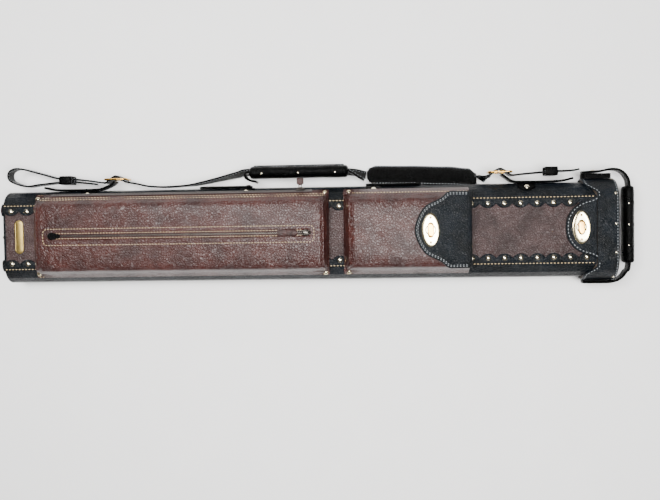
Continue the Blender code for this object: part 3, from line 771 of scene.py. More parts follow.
# ---------------------------------------------------------------- body
@dataclass
class Body:
    """The long tube: front panel, side wraps, back, base cap and what is inside."""

    plate_centre: tuple[float, float] = (-0.4081, 0.001)
    plate_size: tuple[float, float] = (0.0126, 0.048)

    def build(self) -> None:
        """Makes the name plate and dresses the body's CAD nodes."""
        self.dress()
        self.make_cap()
        self.make_name_plate()

    def dress(self) -> None:
        """Gives the body's own nodes their finishes."""
        for node, finish in (("case_tube", FIBRE), ("base_foam", FLOCK), ("mouth_plate", STYRENE),
                ("butt_tube_upper", STYRENE), ("butt_tube_lower", STYRENE), ("shaft_tube_1", STYRENE),
                ("shaft_tube_2", STYRENE), ("shaft_tube_3", STYRENE), ("shaft_tube_4", STYRENE),
                ("front_panel", MATT_BROWN), ("upper_wrap", BLACK), ("lower_wrap", BLACK),
                ("back_panel", BLACK)):
            dress_node(node, finish)

    def make_cap(self) -> None:
        """Makes the base cap: a leather-covered disc with a rounded edge."""
        rows = []
        for x, inset in ((0.004, 0.0003), (0.0012, 0.0), (0.0004, 0.0005), (0.0, 0.0015), (0.0, 0.004)):
            rows.append([Vector((BASE_X + x, y, z)) for y, z in section_ring(SECTION.radius - inset)])
        cap = piece_from("base_cap_leather", closed_skin(rows), BLACK, CASE, smooth=50)
        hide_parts("base_cap")

    def make_name_plate(self) -> None:
        """Makes the plain brass plate: pillowed, with a turned-down rim."""
        z = SECTION.front + 0.0003
        x, y = self.plate_centre
        wide, long = self.plate_size
        rows = []
        for inset, lift in ((0.0, 0.0), (0.0, 0.0007), (0.0004, 0.0011), (0.0011, 0.0012), (0.0016, 0.0009),
                (0.0024, 0.001), (0.004, 0.0012)):
            outline = rounded_slot((x, y), (wide - 2 * inset, long - 2 * inset))
            rows.append([Vector((px, py, z + lift)) for px, py in outline])
        plate = piece_from("name_plate_blank", closed_skin(rows), OLD_BRASS, CASE, smooth=30)
        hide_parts("name_plate")


def dress_node(node: str, finish: Finish) -> None:
    """Gives a CAD node that stays its finish.

    Args:
        node: The node's name.
        finish: The finish for all its faces.
    """
    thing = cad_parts[node]
    thing.data.materials.clear()
    thing.data.materials.append(finish.material())
    LOG.info("%s keeps its CAD shape, %s", node, finish.name)


def section_ring(radius: float, steps: int = 20) -> list[tuple[float, float]]:
    """Lists (y, z) points round the body's section at a radius."""
    half = [(SECTION.flat + radius * math.sin(math.pi * i / steps), SECTION.middle + radius
        * math.cos(math.pi * i / steps)) for i in range(steps + 1)]
    return half + [(-y, 2 * SECTION.middle - z) for y, z in half]


def rounded_slot(centre: tuple[float, float], size: tuple[float, float],
        steps: int = 12) -> list[tuple[float, float]]:
    """Lists points round a slot with round ends, its long side along Y."""
    radius = size[0] / 2
    reach = size[1] / 2 - radius
    top = [(centre[0] + radius * math.cos(math.pi * i / steps), centre[1] + reach + radius
        * math.sin(math.pi * i / steps)) for i in range(steps + 1)]
    return top + [(2 * centre[0] - x, 2 * centre[1] - y) for x, y in top]


# ---------------------------------------------------------------- scalloped trims
@dataclass
class Trims:
    """Two black strips that cover the seams: scalloped inside edge, studs and one row of stitches."""

    inner: float = 0.0315  # crests of the scallops, round the section
    cusp: float = 0.0375
    outer: float = 0.048
    stitch_row: float = 0.0452
    lift: float = TRIM_LIFT
    hollow: float = 0.0004  # how deep a stud pulls the leather down
    # Each run: first stud, pitch, number of studs, low X, high X.
    runs: tuple[tuple[float, float, int, float, float], ...] = ((-0.4196, 0.0233, 2, -0.4335, LONG_POCKET[0]
        + 0.003), (0.0286, STUD_PITCH, 3, LONG_POCKET[1] - 0.003, SMALL_POCKET[0] + 0.004),
        (0.2335, STUD_PITCH, 8, SMALL_POCKET[1] - 0.002, LID_FRONT_X - 0.0004))

    def build(self) -> None:
        """Makes both trims with their studs and stitches."""
        for name, side in (("upper", 1), ("lower", -1)):
            strip = self.make_strip(name, side)
            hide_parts(name + "_trim")
            self.sew(name, side)
        self.drive_studs()
        self.make_base_tabs()

    def edge(self, x: float, run: tuple[float, float, int, float, float]) -> float:
        """Where the scalloped edge is at X, round the section."""
        first, pitch = run[:2]
        phase = abs((x - first) / pitch - round((x - first) / pitch)) * 2
        return self.inner + (self.cusp - self.inner) * phase ** 2.4

    def make_strip(self, name: str, side: int) -> bpy.types.Object:
        """Makes one trim.

        Args:
            name: upper or lower.
            side: 1 or -1.

        Returns:
            The strip, all its runs in one piece.
        """
        work = bmesh.new()
        for run in self.runs:
            first, pitch, count, low, high = run
            steps = int((high - low) / 0.0012)
            tops, feet = [], []
            for i in range(steps + 1):
                x = low + (high - low) * i / steps
                edge = self.edge(x, run)
                rows = [edge, edge + 0.0005, edge + 0.0014] + [edge + (self.outer - edge) * k
                    for k in (0.35, 0.5, 0.65, 0.8)] + [self.outer - 0.0006, self.outer]
                lifts = [self.lift - 0.0007, self.lift - 0.0001, self.lift
                    + 0.0003] + [self.lift] * 4 + [self.lift - 0.0001, self.lift - 0.0007]
                top = []
                for s, lift in zip(rows, lifts):
                    dent = self.dent(x, s, run)
                    top.append(on_skin(min(max(x, BASE_X), high), side * s, lift - dent))
                tops.append(top)
                feet.append([on_skin(min(max(x, BASE_X), high), side * s, 0.0002)
                    for s in (rows[0], rows[-1])])
            closed = [top + [foot[1], foot[0]] for top, foot in zip(tops, feet)]
            lofted(closed, closed_rows=True, capped=True, work=work)
        return piece_from(name + "_trim_leather", face_outwards(work), BLACK, CASE, smooth=50)

    def dent(self, x: float, s: float, run: tuple[float, float, int, float, float]) -> float:
        """How far the nearest stud pulls the leather down at a place."""
        first, pitch = run[:2]
        k = round((x - first) / pitch)
        away = math.hypot(x - first - k * pitch, s - STUD_ROW - 0.0002)
        return self.hollow * (1 - ease((away - 0.0028) / 0.003))

    def sew(self, name: str, side: int) -> None:
        """Sews each run of a trim along its outer edge.

        Args:
            name: upper or lower.
            side: 1 or -1.
        """
        work = bmesh.new()
        for first, pitch, count, low, high in self.runs:
            path = [on_skin(low + 0.003 + (high - low - 0.005) * i / 40, side * self.stitch_row, self.lift)
                for i in range(41)]
            STITCH.add(work, path, skin_normal)
        piece_from(name + "_trim_stitches", work, THREAD, CASE, smooth=80)

    def drive_studs(self) -> None:
        """Drives a stud through every scallop."""
        places = []
        for run in self.runs:
            first, pitch, count, low, high = run
            for k in range(-1, count):
                x = first + k * pitch
                if not low + 0.004 < x < high - 0.002:
                    continue
                for side in (1, -1):
                    if side > 0 and k == 7:
                        continue  # the last upper one is under the lid's flap
                    s = side * (STUD_ROW + 0.0002)
                    place, up = SECTION.at(s, self.lift - self.hollow)
                    places.append((Vector((x, place.y, place.z)), up))
        STUD.drive("trim_studs", places, CASE)

    def make_base_tabs(self) -> None:
        """Makes the two D-shaped ends of the trims that wrap over the base, and its three studs."""
        work = bmesh.new()
        for side in (1, -1):
            rows = []
            for s in [0.0315 + (0.048 - 0.0315) * i / 10 for i in range(11)]:
                half = math.sqrt(max(1 - ((s - 0.03975) / 0.00825) ** 2, 0.04))
                ring = []
                for x, lift in ((0.0015, 0.0012), (-0.0005, 0.0013), (-0.0018 * half - 0.0005, 0.0004),
                        (-0.0024 * half - 0.0005, -0.0018), (-0.0026 * half - 0.0005, -0.006),
                        (-0.0006, -0.0062), (0.0004, -0.0002), (0.0015, 0.0001)):
                    place, _ = SECTION.at(side * s, lift)
                    ring.append(Vector((BASE_X + x, place.y, place.z)))
                rows.append(ring)
            lofted(rows, closed_rows=True, capped=True, work=work)
        piece_from("base_tabs", face_outwards(work), BLACK, CASE, smooth=60)
        places = [(Vector((BASE_X - 0.0026, 0.039, 0.056)), Vector((-1, 0, 0.25)).normalized()),
            (Vector((BASE_X - 0.0026, -0.036, 0.056)), Vector((-1, 0, 0.25)).normalized()),
            (Vector((BASE_X - 0.0002, 0.001, 0.056)), Vector((-1, 0, 0)))]
        STUD.drive("base_studs", places, CASE)


# ---------------------------------------------------------------- pockets
@dataclass
class Pocket:
    """A puffed leather pocket: crowned front, gathered corners and a flange sewn to the case."""

    name: str
    low: float  # X of its flange's two ends
    high: float
    bulge: tuple[tuple[float, float], ...]  # share of full height along X, in metres from the low end
    closed_high: bool
    node: str
    upper_edge: float = 0.0615  # round the section
    lower_edge: float = -0.0575
    flange: float = 0.0015
    gathers: tuple[tuple[float, float, int, float], ...] = ()  # x, side, count, depth
    top: float = 0.0866
    corner: float = 0.01  # radius of the front's corners
    edge_y: float = 0.055

    # The front's section: sideways place and drop under the top, from the upper flange to the lower.
    profile: tuple[tuple[float, float], ...] = ((0.0612, -0.0321), (0.0611, -0.0283), (0.0605, -0.0246),
        (0.059, -0.02), (0.0568, -0.0156), (0.0538, -0.0112), (0.0506, -0.0077), (0.0482, -0.0052),
        (0.0466, -0.0033), (0.043, -0.0013), (0.034, -0.0002), (0.015, 0.0), (0.0, 0.0), (-0.015, 0.0),
        (-0.034, -0.0002), (-0.043, -0.0013), (-0.0466, -0.0033), (-0.0482, -0.0058), (-0.0494, -0.0095),
        (-0.051, -0.015), (-0.053, -0.0206), (-0.0556, -0.026), (-0.0578, -0.0301))
    low_s: tuple[float, ...] = (0.0615, 0.0603, 0.059, 0.0575, 0.056, 0.0543, 0.0525, 0.05, 0.046, 0.0395,
        0.03, 0.015, 0.0, -0.015, -0.03, -0.0385, -0.044, -0.0465, -0.0485, -0.0508, -0.053, -0.0552,
        -0.0575)

    def height_at(self, x: float) -> float:
        """Share of the full height at X."""
        return table([(self.low + at, share) for at, share in self.bulge], x)

    def surface(self, x: float, t: float) -> Vector:
        """Finds a point on the pocket's leather.

        Args:
            x: Place along the case.
            t: 0 at the upper flange to 1 at the lower flange.

        Returns:
            The point.
        """
        u = t * (len(self.profile) - 1)
        k = min(int(u), len(self.profile) - 2)
        f = u - k
        y = self.profile[k][0] * (1 - f) + self.profile[k + 1][0] * f
        drop = self.profile[k][1] * (1 - f) + self.profile[k + 1][1] * f
        s = self.low_s[k] * (1 - f) + self.low_s[k + 1] * f
        foot, _ = SECTION.at(s, POCKET_LIFT + self.flange)
        share = self.height_at(self.rounded(x, y))
        return Vector((x, foot.y + (y - foot.y) * share, foot.z + (self.top + drop - foot.z) * share))

    def rounded(self, x: float, y: float) -> float:
        """Moves X towards the pocket's ends near its long edges, which rounds its corners."""
        beyond = max(abs(y) - (self.edge_y - self.corner), 0.0) / self.corner
        back = self.corner * (1 - math.sqrt(max(1 - min(beyond, 1.0) ** 2, 0.0))) * 0.8
        middle = (self.low + self.high) / 2
        if x < middle:
            return max(min(x - back, middle), self.low + min(x - self.low, 0.0016))
        return x if not self.closed_high else min(max(x + back, middle), self.high
            - min(self.high - x, 0.0016))

    def build(self) -> bpy.types.Object:
        """Makes the pocket's leather and its flange."""
        columns = self.columns()
        rows = []
        count = 92
        for x in columns:
            rows.append([self.surface(x, i / count) for i in range(count + 1)])
        work = bmesh.new()
        made = [[work.verts.new(p) for p in row] for row in rows]
        for first, second in zip(made, made[1:]):
            for i in range(count):
                work.faces.new((first[i], first[i + 1], second[i + 1], second[i]))
        self.close(work, made)
        bmesh.ops.recalc_face_normals(work, faces=work.faces)
        work.normal_update()
        self.shape(work)
        leather = piece_from(self.name, work, GLAZED, CASE, smooth=60)
        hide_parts(self.node)
        return leather

    def columns(self) -> list[float]:
        """Places along X of the mesh's columns: close together at the ends."""
        span = self.high - self.low
        count = max(int(span / 0.0022), 40)
        spots = set()
        for i in range(count + 1):
            spots.add(round(self.low + span * i / count, 6))
        for i in range(24):
            spots.add(round(self.low + 0.022 * i / 24, 6))
            if self.closed_high:
                spots.add(round(self.high - 0.012 * i / 24, 6))
        return sorted(spots)

    def close(self, work: bmesh.types.BMesh, made: list[list[bmesh.types.BMVert]]) -> None:
        """Closes the pocket's underside onto the case.

        Args:
            work: The pocket's mesh.
            made: Its rows of corners.
        """
        feet = []
        for row in made:
            x = row[0].co.x
            line = []
            for k in range(25):
                s = self.upper_edge + (self.lower_edge - self.upper_edge) * k / 24
                place, _ = SECTION.at(s, POCKET_LIFT - 0.0001)
                line.append(work.verts.new((x, place.y, place.z)))
            feet.append(line)
        for first, second in zip(feet, feet[1:]):
            for i in range(24):
                work.faces.new((first[i], second[i], second[i + 1], first[i + 1]))
        for (row_a, foot_a), (row_b, foot_b) in zip(zip(made, feet), zip(made[1:], feet[1:])):
            work.faces.new((row_a[0], row_b[0], foot_b[0], foot_a[0]))
            work.faces.new((row_a[-1], foot_a[-1], foot_b[-1], row_b[-1]))
        for row, foot in ((made[0], feet[0]), (made[-1], feet[-1])):
            work.faces.new(row + list(reversed(foot)))

    def shape(self, work: bmesh.types.BMesh) -> None:
        """Moves the leather out and in: soft unevenness, and folds gathered at the corners."""
        top = self.top
        for vert in work.verts:
            if vert.co.z < SECTION.front + 0.004 and abs(vert.co.y) < 0.05:
                continue
            raised = ease((vert.co.z - 0.058) / 0.014)
            soft = noise.noise(vert.co * 28) * 0.0005 + noise.noise(vert.co * 75
                + Vector((3, 1, 2))) * 0.00028
            pull = 0.0
            for x, side, count, depth in self.gathers:
                pull += self.gather(vert.co, x, side, count, depth)
            vert.co += vert.normal * (soft * raised + pull)
            vert.co.z = min(vert.co.z, top + 0.0004)

    def gather(self, place: Vector, x: float, side: float, count: int, depth: float) -> float:
        """Depth of the folds that fan out of one lower corner of the pocket.

        Args:
            place: A point on the leather.
            x: The corner's X.
            side: 1 for the upper corner and -1 for the lower.
            count: Folds in a quarter turn.
            depth: Their depth.

        Returns:
            The move along the normal.
        """
        corner = Vector((x, side * 0.053, 0.0))
        across = Vector((place.x - corner.x, place.y - corner.y, 0))
        away = across.length
        if away < 1e-6 or place.z < 0.057:
            return 0.0
        angle = math.atan2(across.y, across.x)
        share = (1 - ease((away - 0.01) / 0.022)) * ease((place.z - 0.057)
            / 0.006) * ease((0.0885 - place.z) / 0.004)
        wave = math.cos(angle * count * 4 / math.pi * 2 + x * 40)
        return depth * share * (wave * 0.5 - 0.35)


@dataclass
class Pockets:
    """The long zipped pocket and the small open one, with their stitching and corner rivets."""

    def build(self) -> None:
        """Makes both pockets."""
        low, high = LONG_POCKET
        span = high - low
        bulge = ((0, 0.0), (0.0012, 0.05), (0.004, 0.5), (0.01, 0.84), (0.019, 0.97), (0.03, 1.0),
            (span - 0.012, 1.0), (span - 0.006, 0.9), (span - 0.003, 0.6), (span - 0.0008, 0.06),
            (span, 0.0))
        long_pocket = Pocket("long_pocket_leather", low, high, bulge, True, "long_pocket",
            gathers=((low, 1, 5, 0.0013), (low, -1, 5, 0.0015), (high, 1, 5, 0.0008),
            (high, -1, 5, 0.0008)))
        long_pocket.build()
        low, high = SMALL_POCKET
        span = high - low
        bulge = ((0, 0.0), (0.0012, 0.05), (0.0035, 0.5), (0.008, 0.86), (0.016, 0.98), (0.026, 1.0),
            (span, 1.0))
        small_pocket = OpenPocket("small_pocket_leather", low, high, bulge, False, "small_pocket",
            gathers=((low, 1, 5, 0.0012), (low, -1, 5, 0.0013)))
        small_pocket.build()
        for name, pocket, wide_rows in (("long", long_pocket, (0.205, 0.245)),
                ("small", small_pocket, (0.205,))):
            self.sew(name, pocket, wide_rows)
        self.rivet(long_pocket, small_pocket)

    def sew(self, name: str, pocket: Pocket, rows: Sequence[float]) -> None:
        """Sews the flange down and the upper flank's decorative rows.

        Args:
            name: long or small.
            pocket: The pocket.
            rows: Place of each row on the front, as the share of the way round.
        """
        work = bmesh.new()
        lift = POCKET_LIFT + pocket.flange
        low, high = pocket.low + 0.0016, pocket.high - (0.0016 if pocket.closed_high else 0.004)
        for s in (pocket.upper_edge - 0.0012, pocket.lower_edge + 0.0012):
            path = [on_skin(low + (high - low) * i / 60, s, lift) for i in range(61)]
            FINE_STITCH.add(work, path, skin_normal)
        ends = [low] + ([high] if pocket.closed_high else [])
        for x in ends:
            path = [on_skin(x, pocket.lower_edge + 0.002 + (pocket.upper_edge - pocket.lower_edge - 0.004)
                * i / 60, lift + 0.0002) for i in range(61)]
            FINE_STITCH.add(work, path, skin_normal)
        for t in rows:
            start, end = pocket.low + 0.012, pocket.high - (0.006 if pocket.closed_high else 0.001)
            path = [pocket.surface(start + (end - start) * i / 90, t) for i in range(91)]
            FINE_STITCH.add(work, path, lambda p: Vector((0, 0.55, 0.83)))
        piece_from(name + "_pocket_stitches", work, THREAD, CASE, smooth=80)

    def rivet(self, long_pocket: Pocket, small_pocket: Pocket) -> None:
        """Rivets the pockets' corners."""
        rivet = Stud(radius=0.0026, height=0.0014)
        places = []
        for x, s in ((LONG_POCKET[0] + 0.0042, 0.0535), (LONG_POCKET[0] + 0.0042, -0.051),
                (LONG_POCKET[1] - 0.0052, 0.056), (LONG_POCKET[1] - 0.0052, -0.0535),
                (SMALL_POCKET[0] + 0.0072, 0.056), (SMALL_POCKET[0] + 0.0066, -0.053)):
            place, up = SECTION.at(s, POCKET_LIFT + 0.0034)
            places.append((Vector((x, place.y, place.z)), up))
        rivet.drive("pocket_rivets", places, CASE, BRASS)


@dataclass
class OpenPocket(Pocket):
    """A pocket whose high end is open: its leather is a shell."""

    wall: float = 0.0018

    def close(self, work: bmesh.types.BMesh, made: list[list[bmesh.types.BMVert]]) -> None:
        """Lines the pocket with an inner face, and closes its low end and its rim."""
        inner = []
        count = len(made[0]) - 1
        for row in made:
            x = row[0].co.x
            line = []
            for i, vert in enumerate(row):
                here = self.surface(x, i / count)
                middle = Vector((x, here.y * 0.88, 0.0))
                middle.y = math.copysign(max(abs(here.y) - self.wall * (1 + 2.4
                    * ease((0.08 - here.z) / 0.02)), 0) if abs(here.y) > 0.03 else abs(here.y), here.y)
                middle.z = max(here.z - self.wall, SECTION.front + POCKET_LIFT + 0.0006)
                if x < self.low + 0.012:
                    middle.z = SECTION.front + POCKET_LIFT + 0.0006
                line.append(work.verts.new(middle))
            inner.append(line)
        for first, second in zip(inner, inner[1:]):
            for i in range(count):
                work.faces.new((first[i], second[i], second[i + 1], first[i + 1]))
        for i in range(count):
            work.faces.new((made[-1][i], made[-1][i + 1], inner[-1][i + 1], inner[-1][i]))
            work.faces.new((made[0][i], inner[0][i], inner[0][i + 1], made[0][i + 1]))
        for (row_a, foot_a), (row_b, foot_b) in zip(zip(made, inner), zip(made[1:], inner[1:])):
            work.faces.new((row_a[0], row_b[0], foot_b[0], foot_a[0]))
            work.faces.new((row_a[-1], foot_a[-1], foot_b[-1], row_b[-1]))


# ---------------------------------------------------------------- zips
@dataclass
class FrontZip:
    """The zip on the long pocket's front: tape, teeth, slider, leather pull and end tab."""

    y: float = 0.0018
    low: float = -0.357
    high: float = 0.0135
    base: float = 0.0869  # underside of the chain
    pitch: float = 0.0026  # one tooth
    slider_low: float = 0.0012
    pull_length: float = 0.034

    def build(self) -> None:
        """Makes the zip's parts."""
        self.make_tape()
        self.make_lips()
        self.make_teeth()
        self.make_frame()
        self.make_tab()
        self.make_slider()
        self.make_pull()

    def make_tape(self) -> None:
        """Makes the woven tape on both sides of the teeth."""
        rows = []
        for x in [self.low + (self.high - self.low) * i / 60 for i in range(61)]:
            rows.append([Vector((x, self.y + y, self.base + z)) for y, z in ((-0.0018, -0.0004),
                (-0.0016, 0.0), (-0.001, 0.0002), (0.001, 0.0002), (0.0016, 0.0), (0.0018, -0.0004))])
        tape = piece_from("front_zip_tape", closed_skin(rows), TAPE, CASE, smooth=50)
        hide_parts("front_zip_chain")

    def make_lips(self) -> None:
        """Makes the leather's two folded edges beside the teeth, each with a row of stitches."""
        stitches = bmesh.new()
        for name, side in (("upper", 1), ("lower", -1)):
            rows = []
            for k in range(121):
                x = self.low + 0.004 + (self.high - self.low - 0.005) * k / 120
                wave = 0.0001 * noise.noise(Vector((x * 60, side, 0)))
                rows.append([Vector((x, self.y + side * y, self.base + z + wave)) for y,
                    z in ((0.0018, -0.0005), (0.0017, 0.0002), (0.002, 0.0007), (0.0027, 0.0009),
                    (0.004, 0.0006), (0.0052, 0.0001), (0.0062, -0.0005))])
            piece_from("front_zip_lip_" + name, closed_skin(rows), GLAZED, CASE, smooth=60)
            path = [Vector((self.low + 0.008 + (self.high - self.low - 0.012) * k / 60, self.y + side
                * 0.0036, self.base + 0.0008)) for k in range(61)]
            FINE_STITCH.add(stitches, path, upwards)
        piece_from("front_zip_row_stitches", stitches, THREAD, CASE, smooth=80)

    def make_teeth(self) -> None:
        """Makes the teeth, in turn from each side."""
        work = bmesh.new()
        count = int((self.high - self.low - 0.004) / (self.pitch / 2))
        for k in range(count):
            x = self.low + 0.002 + k * self.pitch / 2
            side = 1 if k % 2 else -1
            middle = self.y + side * 0.0004
            rows = []
            for y, half, rise in ((-0.0007, 0.0005, 0.0004), (-0.0003, 0.00058, 0.0007),
                    (0.0003, 0.00058, 0.0007), (0.0007, 0.0005, 0.0004)):
                rows.append([Vector((x - half, middle + y, self.base + 0.0002)),
                    Vector((x - half * 0.7, middle + y, self.base + rise)),
                    Vector((x + half * 0.7, middle + y, self.base + rise)),
                    Vector((x + half, middle + y, self.base + 0.0002))])
            lofted(rows, closed_rows=True, capped=True, work=work)
        piece_from("front_zip_teeth", face_outwards(work), GUNMETAL, CASE, smooth=30)

    def make_frame(self) -> None:
        """Sews the rounded rectangle round the zip."""
        outline = [Vector((x, y, 0.0869)) for x, y in rounded_box((-0.1726, 0.0003), (0.3798, 0.0227),
            0.0065)]
        work = bmesh.new()
        FINE_STITCH.add(work, outline, upwards, closed=True)
        piece_from("front_zip_stitches", work, THREAD, CASE, smooth=80)

    def make_tab(self) -> None:
        """Makes the black teardrop of leather over the zip's far end."""
        rows = []
        for inset, z in ((0.0, 0.0), (0.0, 0.001), (0.0004, 0.0015), (0.0012, 0.0017), (0.0026, 0.0016)):
            ring = []
            for k in range(36):
                t = 2 * math.pi * k / 36
                reach = 0.0052 + 0.0072 * ease((math.cos(t) - 0.1) / 0.9)
                ring.append(Vector((self.low + 0.007 + (reach * 1.05 - inset) * math.cos(t), self.y
                    + (0.0052 - inset) * math.sin(t), self.base + z)))
            rows.append(ring)
        piece_from("front_zip_end_tab", closed_skin(rows), STRAP, CASE, smooth=50)

    def make_slider(self) -> None:
        """Makes the slider: two cheeks, a bridge over them and the loop for the pull."""
        x, z = self.slider_low, self.base + 0.0015
        rows = []
        for along, half, top in ((0.0, 0.003, 0.0014), (0.0012, 0.004, 0.0019), (0.004, 0.0044, 0.0021),
                (0.0078, 0.004, 0.002), (0.01, 0.0026, 0.0017), (0.011, 0.0014, 0.0012)):
            rows.append([Vector((x + along, self.y - half, z)), Vector((x + along, self.y - half, z + top
                * 0.6)), Vector((x + along, self.y - half * 0.7, z + top)),
                Vector((x + along, self.y + half * 0.7, z + top)), Vector((x + along, self.y + half, z + top
                * 0.6)), Vector((x + along, self.y + half, z))])
        work = lofted(rows, closed_rows=True, capped=True)
        arch = curve_through([(x + 0.0008, self.y, z + 0.0016), (x + 0.0016, self.y, z + 0.0029),
            (x + 0.005, self.y, z + 0.0032), (x + 0.008, self.y, z + 0.0028),
            (x + 0.009, self.y, z + 0.0016)], 5)
        lofted(ribbon_rows_flat(arch, 0.0022, 0.0007), closed_rows=True, capped=True, work=work)
        slider = piece_from("front_zip_slider_body", face_outwards(work), GUNMETAL, "front_zip_slider",
            smooth=40)
        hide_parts("front_zip_slider")

    def make_pull(self) -> None:
        """Makes the pull: a wire loop through the slider and a folded leather strip."""
        x, z = self.slider_low, self.base + 0.004
        work = bmesh.new()
        path = curve_through([(x + 0.0034, self.y + 0.001, z), (x + 0.003, self.y + 0.0021, z),
            (x - 0.002, self.y + 0.0026, z - 0.0004), (x - 0.0066, self.y + 0.002, z - 0.0006),
            (x - 0.0072, self.y, z - 0.0006), (x - 0.0066, self.y - 0.002, z - 0.0006),
            (x - 0.002, self.y - 0.0026, z - 0.0004), (x + 0.003, self.y - 0.0021, z),
            (x + 0.0034, self.y - 0.001, z)], 4)
        wire(work, path, 0.00055)
        piece_from("front_zip_pull_loop", face_outwards(work), GUNMETAL, "front_zip_pull", smooth=60)
        rows = []
        for share in [i / 24 for i in range(25)]:
            at = x - 0.0052 - (self.pull_length - 0.0052) * share
            half = 0.0024 + 0.002 * ease(share * 5) * ease((1.02 - share) * 9)
            thick = 0.001 - 0.0002 * share
            lift = z - 0.0012 + 0.0004 * math.sin(share * 7)
            rows.append([Vector((at, self.y + half * u, lift + thick * v)) for u,
                v in ((-1, -0.4), (-0.8, -1), (0.8, -1), (1, -0.4), (1, 0.4), (0.75, 1), (0, 1.25),
                (-0.75, 1), (-1, 0.4))])
        pull = piece_from("front_zip_pull_strip", closed_skin(rows), PULL_BROWN, "front_zip_pull",
            smooth=50)
        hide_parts("front_zip_pull")


def ribbon_rows_flat(path: Sequence[Vector], width: float, thickness: float) -> Grid:
    """Lists the rings of a small flat bar whose width lies along Y."""
    rows = []
    for i, here in enumerate(path):
        way = (path[min(i + 1, len(path) - 1)] - path[max(i - 1, 0)]).normalized()
        across = Vector((0, 1, 0))
        out = way.cross(across).normalized()
        rows.append([here + across * (width / 2 * u) + out * (thickness / 2 * v) for u,
            v in ((-1, -0.6), (-0.7, -1), (0.7, -1), (1, -0.6), (1, 0.6), (0.7, 1), (-0.7, 1), (-1, 0.6))])
    return rows


def wire(work: bmesh.types.BMesh, path: Sequence[Vector], radius: float, sides: int = 10,
        closed: bool = False) -> None:
    """Adds a round wire along a path.

    Args:
        work: The mesh that it is added to.
        path: The wire's middle.
        radius: Its radius.
        sides: Number of sides.
        closed: Whether its end joins its start.
    """
    rows = []
    side = Vector((0.31, 0.17, 0.93))
    count = len(path)
    for i, here in enumerate(path):
        after = path[(i + 1) % count] if closed else path[min(i + 1, count - 1)]
        before = path[i - 1] if closed or i else path[0]
        way = (after - before).normalized()
        side = (side - way * side.dot(way)).normalized()
        other = way.cross(side)
        rows.append([here + (side * math.cos(a) + other * math.sin(a)) * radius
            for a in (2 * math.pi * k / sides for k in range(sides))])
    lofted(rows, closed_rows=True, capped=not closed, work=work, close_loft=closed)


def rounded_box(centre: tuple[float, float], size: tuple[float, float], radius: float,
        steps: int = 8) -> list[tuple[float, float]]:
    """Lists points round a rectangle with round corners, with even points on its long sides."""
    cx, cy = centre
    hx, hy = size[0] / 2 - radius, size[1] / 2 - radius
    points = []
    for sx, sy, start in ((1, 1, 0), (-1, 1, 90), (-1, -1, 180), (1, -1, 270)):
        for k in range(steps + 1):
            t = math.radians(start + 90 * k / steps)
            points.append((cx + sx * hx + radius * math.cos(t), cy + sy * hy + radius * math.sin(t)))
    return points


